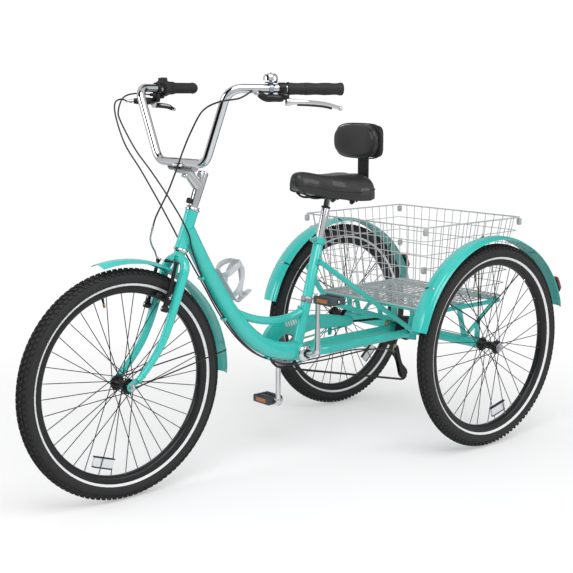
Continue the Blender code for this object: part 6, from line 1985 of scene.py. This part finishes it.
cage_parts = [strap]
UPPER_ARM = ((8, 0.104), (45, 0.109), (90, 0.113), (135, 0.108), (178, 0.100))
LOWER_ARM = ((12, 0.030), (45, 0.045), (90, 0.070), (135, 0.092), (176, 0.101))
for side in (1, -1):
    upper = [round_bottle(side * turn, height) for turn, height in UPPER_ARM]
    cage_parts.append(cage_band(upper, np.linspace(0.020, 0.015, 60)))
    arm = [round_bottle(side * turn, height) for turn, height in LOWER_ARM]
    cage_parts.append(cage_band(arm, np.linspace(0.016, 0.013, 60)))
    steps = ((176, 0.098, 0.98), (172, 0.078, 0.84), (168, 0.044, 0.40), (172, 0.006, -0.40))
    lower = [round_bottle(side * turn, height, share) for turn, height, share in steps]
    cage_parts.append(cage_band(lower, np.linspace(0.014, 0.010, 60)))
cage_parts.append(brick(
    axis_low + along * 0.001 - up * 0.004, cage_axes, [0.026, 0.0040, 0.062], 0.4
))
cage_parts.append(brick(
    axis_low + along * 0.005 + up * 0.004, cage_axes, [0.022, 0.012, 0.0036], 0.4
))
cage_plastic = finish(
    "cage_plastic", (0.74, 0.76, 0.79), (0.66, 0.68, 0.71), mottle=30.0, rough=(0.28, 0.38),
    Transmission_Weight=0.30,
)
build(
    "bottle_cage_piece", join(*cage_parts), cage_plastic, "frame", nodes=["bottle_cage"],
)
cage_bolts = [
    turned(
        [(0, 0.0050), (0.0020, 0.0050), (0.0032, 0.0034)],
        (low + high) / 2 + along * d + up * (lift + 0.0036), up, 16,
    )
    for d in (0.032, -0.032)
]
build("cage_bolts", join(*cage_bolts), plated_steel, "frame")

# Control cables: black plastic housing over wire. One goes from the left lever to the front brake, and
# two go from the right of the bar down the frame, to the derailleur and to the rear brake.
CABLE = 0.0024
cable_black = finish(
    "cable_housing", (0.012, 0.012, 0.013), (0.020, 0.020, 0.021), mottle=50.0, rough=(0.30, 0.40),
    coat=0.2,
)
UNDER_TUBE = [(-0.306, 0.590), (-0.240, 0.482), (-0.177, 0.404), (-0.114, 0.350), (-0.048, 0.316)]
front_route = [
    lever_mouths["left"], (0.246, -0.362, 1.123), (0.233, -0.420, 1.114), (0.190, -0.442, 1.090),
    (0.150, -0.452, 1.034),
    (0.105, -0.448, 0.978), (0.060, -0.438, 0.926), (0.030, -0.448, 0.861), (0.000, -0.467, 0.794),
    (-0.012, -0.473, 0.754),
]
shift_route = [
    shift_mouth, shift_mouth + [0.006, -0.060, 0.004], (-0.257, -0.398, 1.121),
    (-0.246, -0.424, 1.085), (-0.232, -0.427, 1.053),
    (-0.172, -0.418, 0.974), (-0.120, -0.402, 0.915), (-0.075, -0.386, 0.858),
    (-0.020, -0.392, 0.818), (0.014, -0.392, 0.786),
    (0.027, -0.374, 0.738), (0.024, -0.360, 0.690),
]
shift_route += [(0.0065, y, z) for y, z in UNDER_TUBE]
shift_route += [
    (0.012, 0.022, 0.292), (0.045, 0.140, 0.296), (0.045, 0.320, 0.300), (0.030, 0.430, 0.286),
    (-0.010, 0.500, 0.262), (-0.040, 0.530, 0.276), (-0.070, 0.562, 0.290),
]
rear_route = [
    lever_mouths["right"], lever_mouths["right"] + [0.014, -0.030, 0.006], (-0.258, -0.428, 1.104),
    (-0.238, -0.438, 1.062), (-0.196, -0.436, 0.986),
    (-0.150, -0.414, 0.913), (-0.092, -0.398, 0.832), (-0.055, -0.392, 0.784),
    (-0.029, -0.382, 0.740), (-0.022, -0.356, 0.685),
]
rear_route += [(-0.0065, y, z) for y, z in UNDER_TUBE]
rear_route += [
    (-0.004, 0.022, 0.292), (-0.008, 0.140, 0.290), (-0.016, 0.320, 0.290), (-0.019, 0.430, 0.276),
    (-0.019, 0.505, 0.266),
]


def split_cable(name, route, cuts, bodies):
    """A cable in lengths cut at the nearest points to cuts; a length with one body rides it, a length
    between two bodies is left unattached with its place baked in.
    """
    line = through(route, 300)
    at = [0] + [
        int(np.argmin(np.linalg.norm(line - cut, axis=1))) for cut in cuts
    ] + [len(line) - 1]
    for k, pair in enumerate(bodies):
        length = line[at[k]:at[k + 1] + 1]
        made = build(
            f"{name}_{k + 1}", tube(length, CABLE, 10), cable_black,
            pair[0] if len(pair) == 1 else None,
            nodes=[name] if k == len(bodies) - 1 else [],
        )
        if len(pair) == 2:
            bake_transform(made)


split_cable(
    "front_brake_cable", front_route, [(0.105, -0.448, 0.978)],
    [("stem", "handlebar"), ("fork", "stem")],
)
rear_bodies = [("stem", "handlebar"), ("fork", "stem"), ("frame", "fork"), ("frame",)]
split_cable(
    "shift_cable", shift_route,
    [(-0.172, -0.418, 0.974), (-0.120, -0.402, 0.915), (0.014, -0.340, 0.640)], rear_bodies,
)
split_cable(
    "rear_brake_cable", rear_route,
    [(-0.196, -0.436, 0.986), (-0.150, -0.414, 0.913), (-0.014, -0.330, 0.640)], rear_bodies,
)

# Cable fittings: enamelled clips hold the pair under the down tube; a bent plated noodle, a wire and a
# rubber boot join the front cable to the tops of the brake arms.
clip_blocks = []
for y, z, slope in (
    (-0.3130, 0.6020, (0.494, -0.869)), (-0.2320, 0.4700, (0.60, -0.80)),
    (-0.0640, 0.3250, (0.92, -0.39)),
):
    run = np.array([0, *slope])
    clip_blocks.append(brick(
        [0, y, z], [[1, 0, 0], run, np.cross([1, 0, 0], run)], [0.0240, 0.0100, 0.0100], 0.35
    ))
for x in (STAY_X, -STAY_X):
    clip_blocks.append(brick([x, 0.3200, 0.3140], SQUARE, [0.012, 0.010, 0.008], 0.4))
build("cable_clips", join(*clip_blocks), enamel, "frame")
right_head, left_head = (steering_point(CROWN - 0.017, 0.0335, x) for x in (-0.044, 0.044))
noodle = through(
    [
        (-0.012, -0.473, 0.754), (-0.020, -0.474, 0.730), (-0.029, -0.463, 0.708),
        (-0.0385, -0.447, 0.690), right_head + [-0.001, -0.004, 0.008],
        right_head + [0.012, 0, 0.003],
    ],
    50,
)
ferrule = straight(noodle[0] + [0.0035, 0.0015, 0.012], noodle[0], 0.0036, 16)
wire = straight(right_head + [0.006, 0, 0.002], left_head + [0.006, 0, 0.002], 0.0010, 8)
build(
    "brake_noodle", join(tube(noodle, 0.0026, 14), ferrule, wire), plated_steel, "fork",
)
boot_way = left_head - right_head
boot = [
    (d, 0.0040 - 0.0012 * d / 0.034 + 0.0009 * math.cos(d * 2 * math.pi / 0.0042))
    for d in np.linspace(0, 0.034, 50)
]
build(
    "brake_boot", turned(boot, right_head + boot_way * 0.42 + [0, 0, 0.002], boot_way, 18),
    grip_rubber, "fork",
)
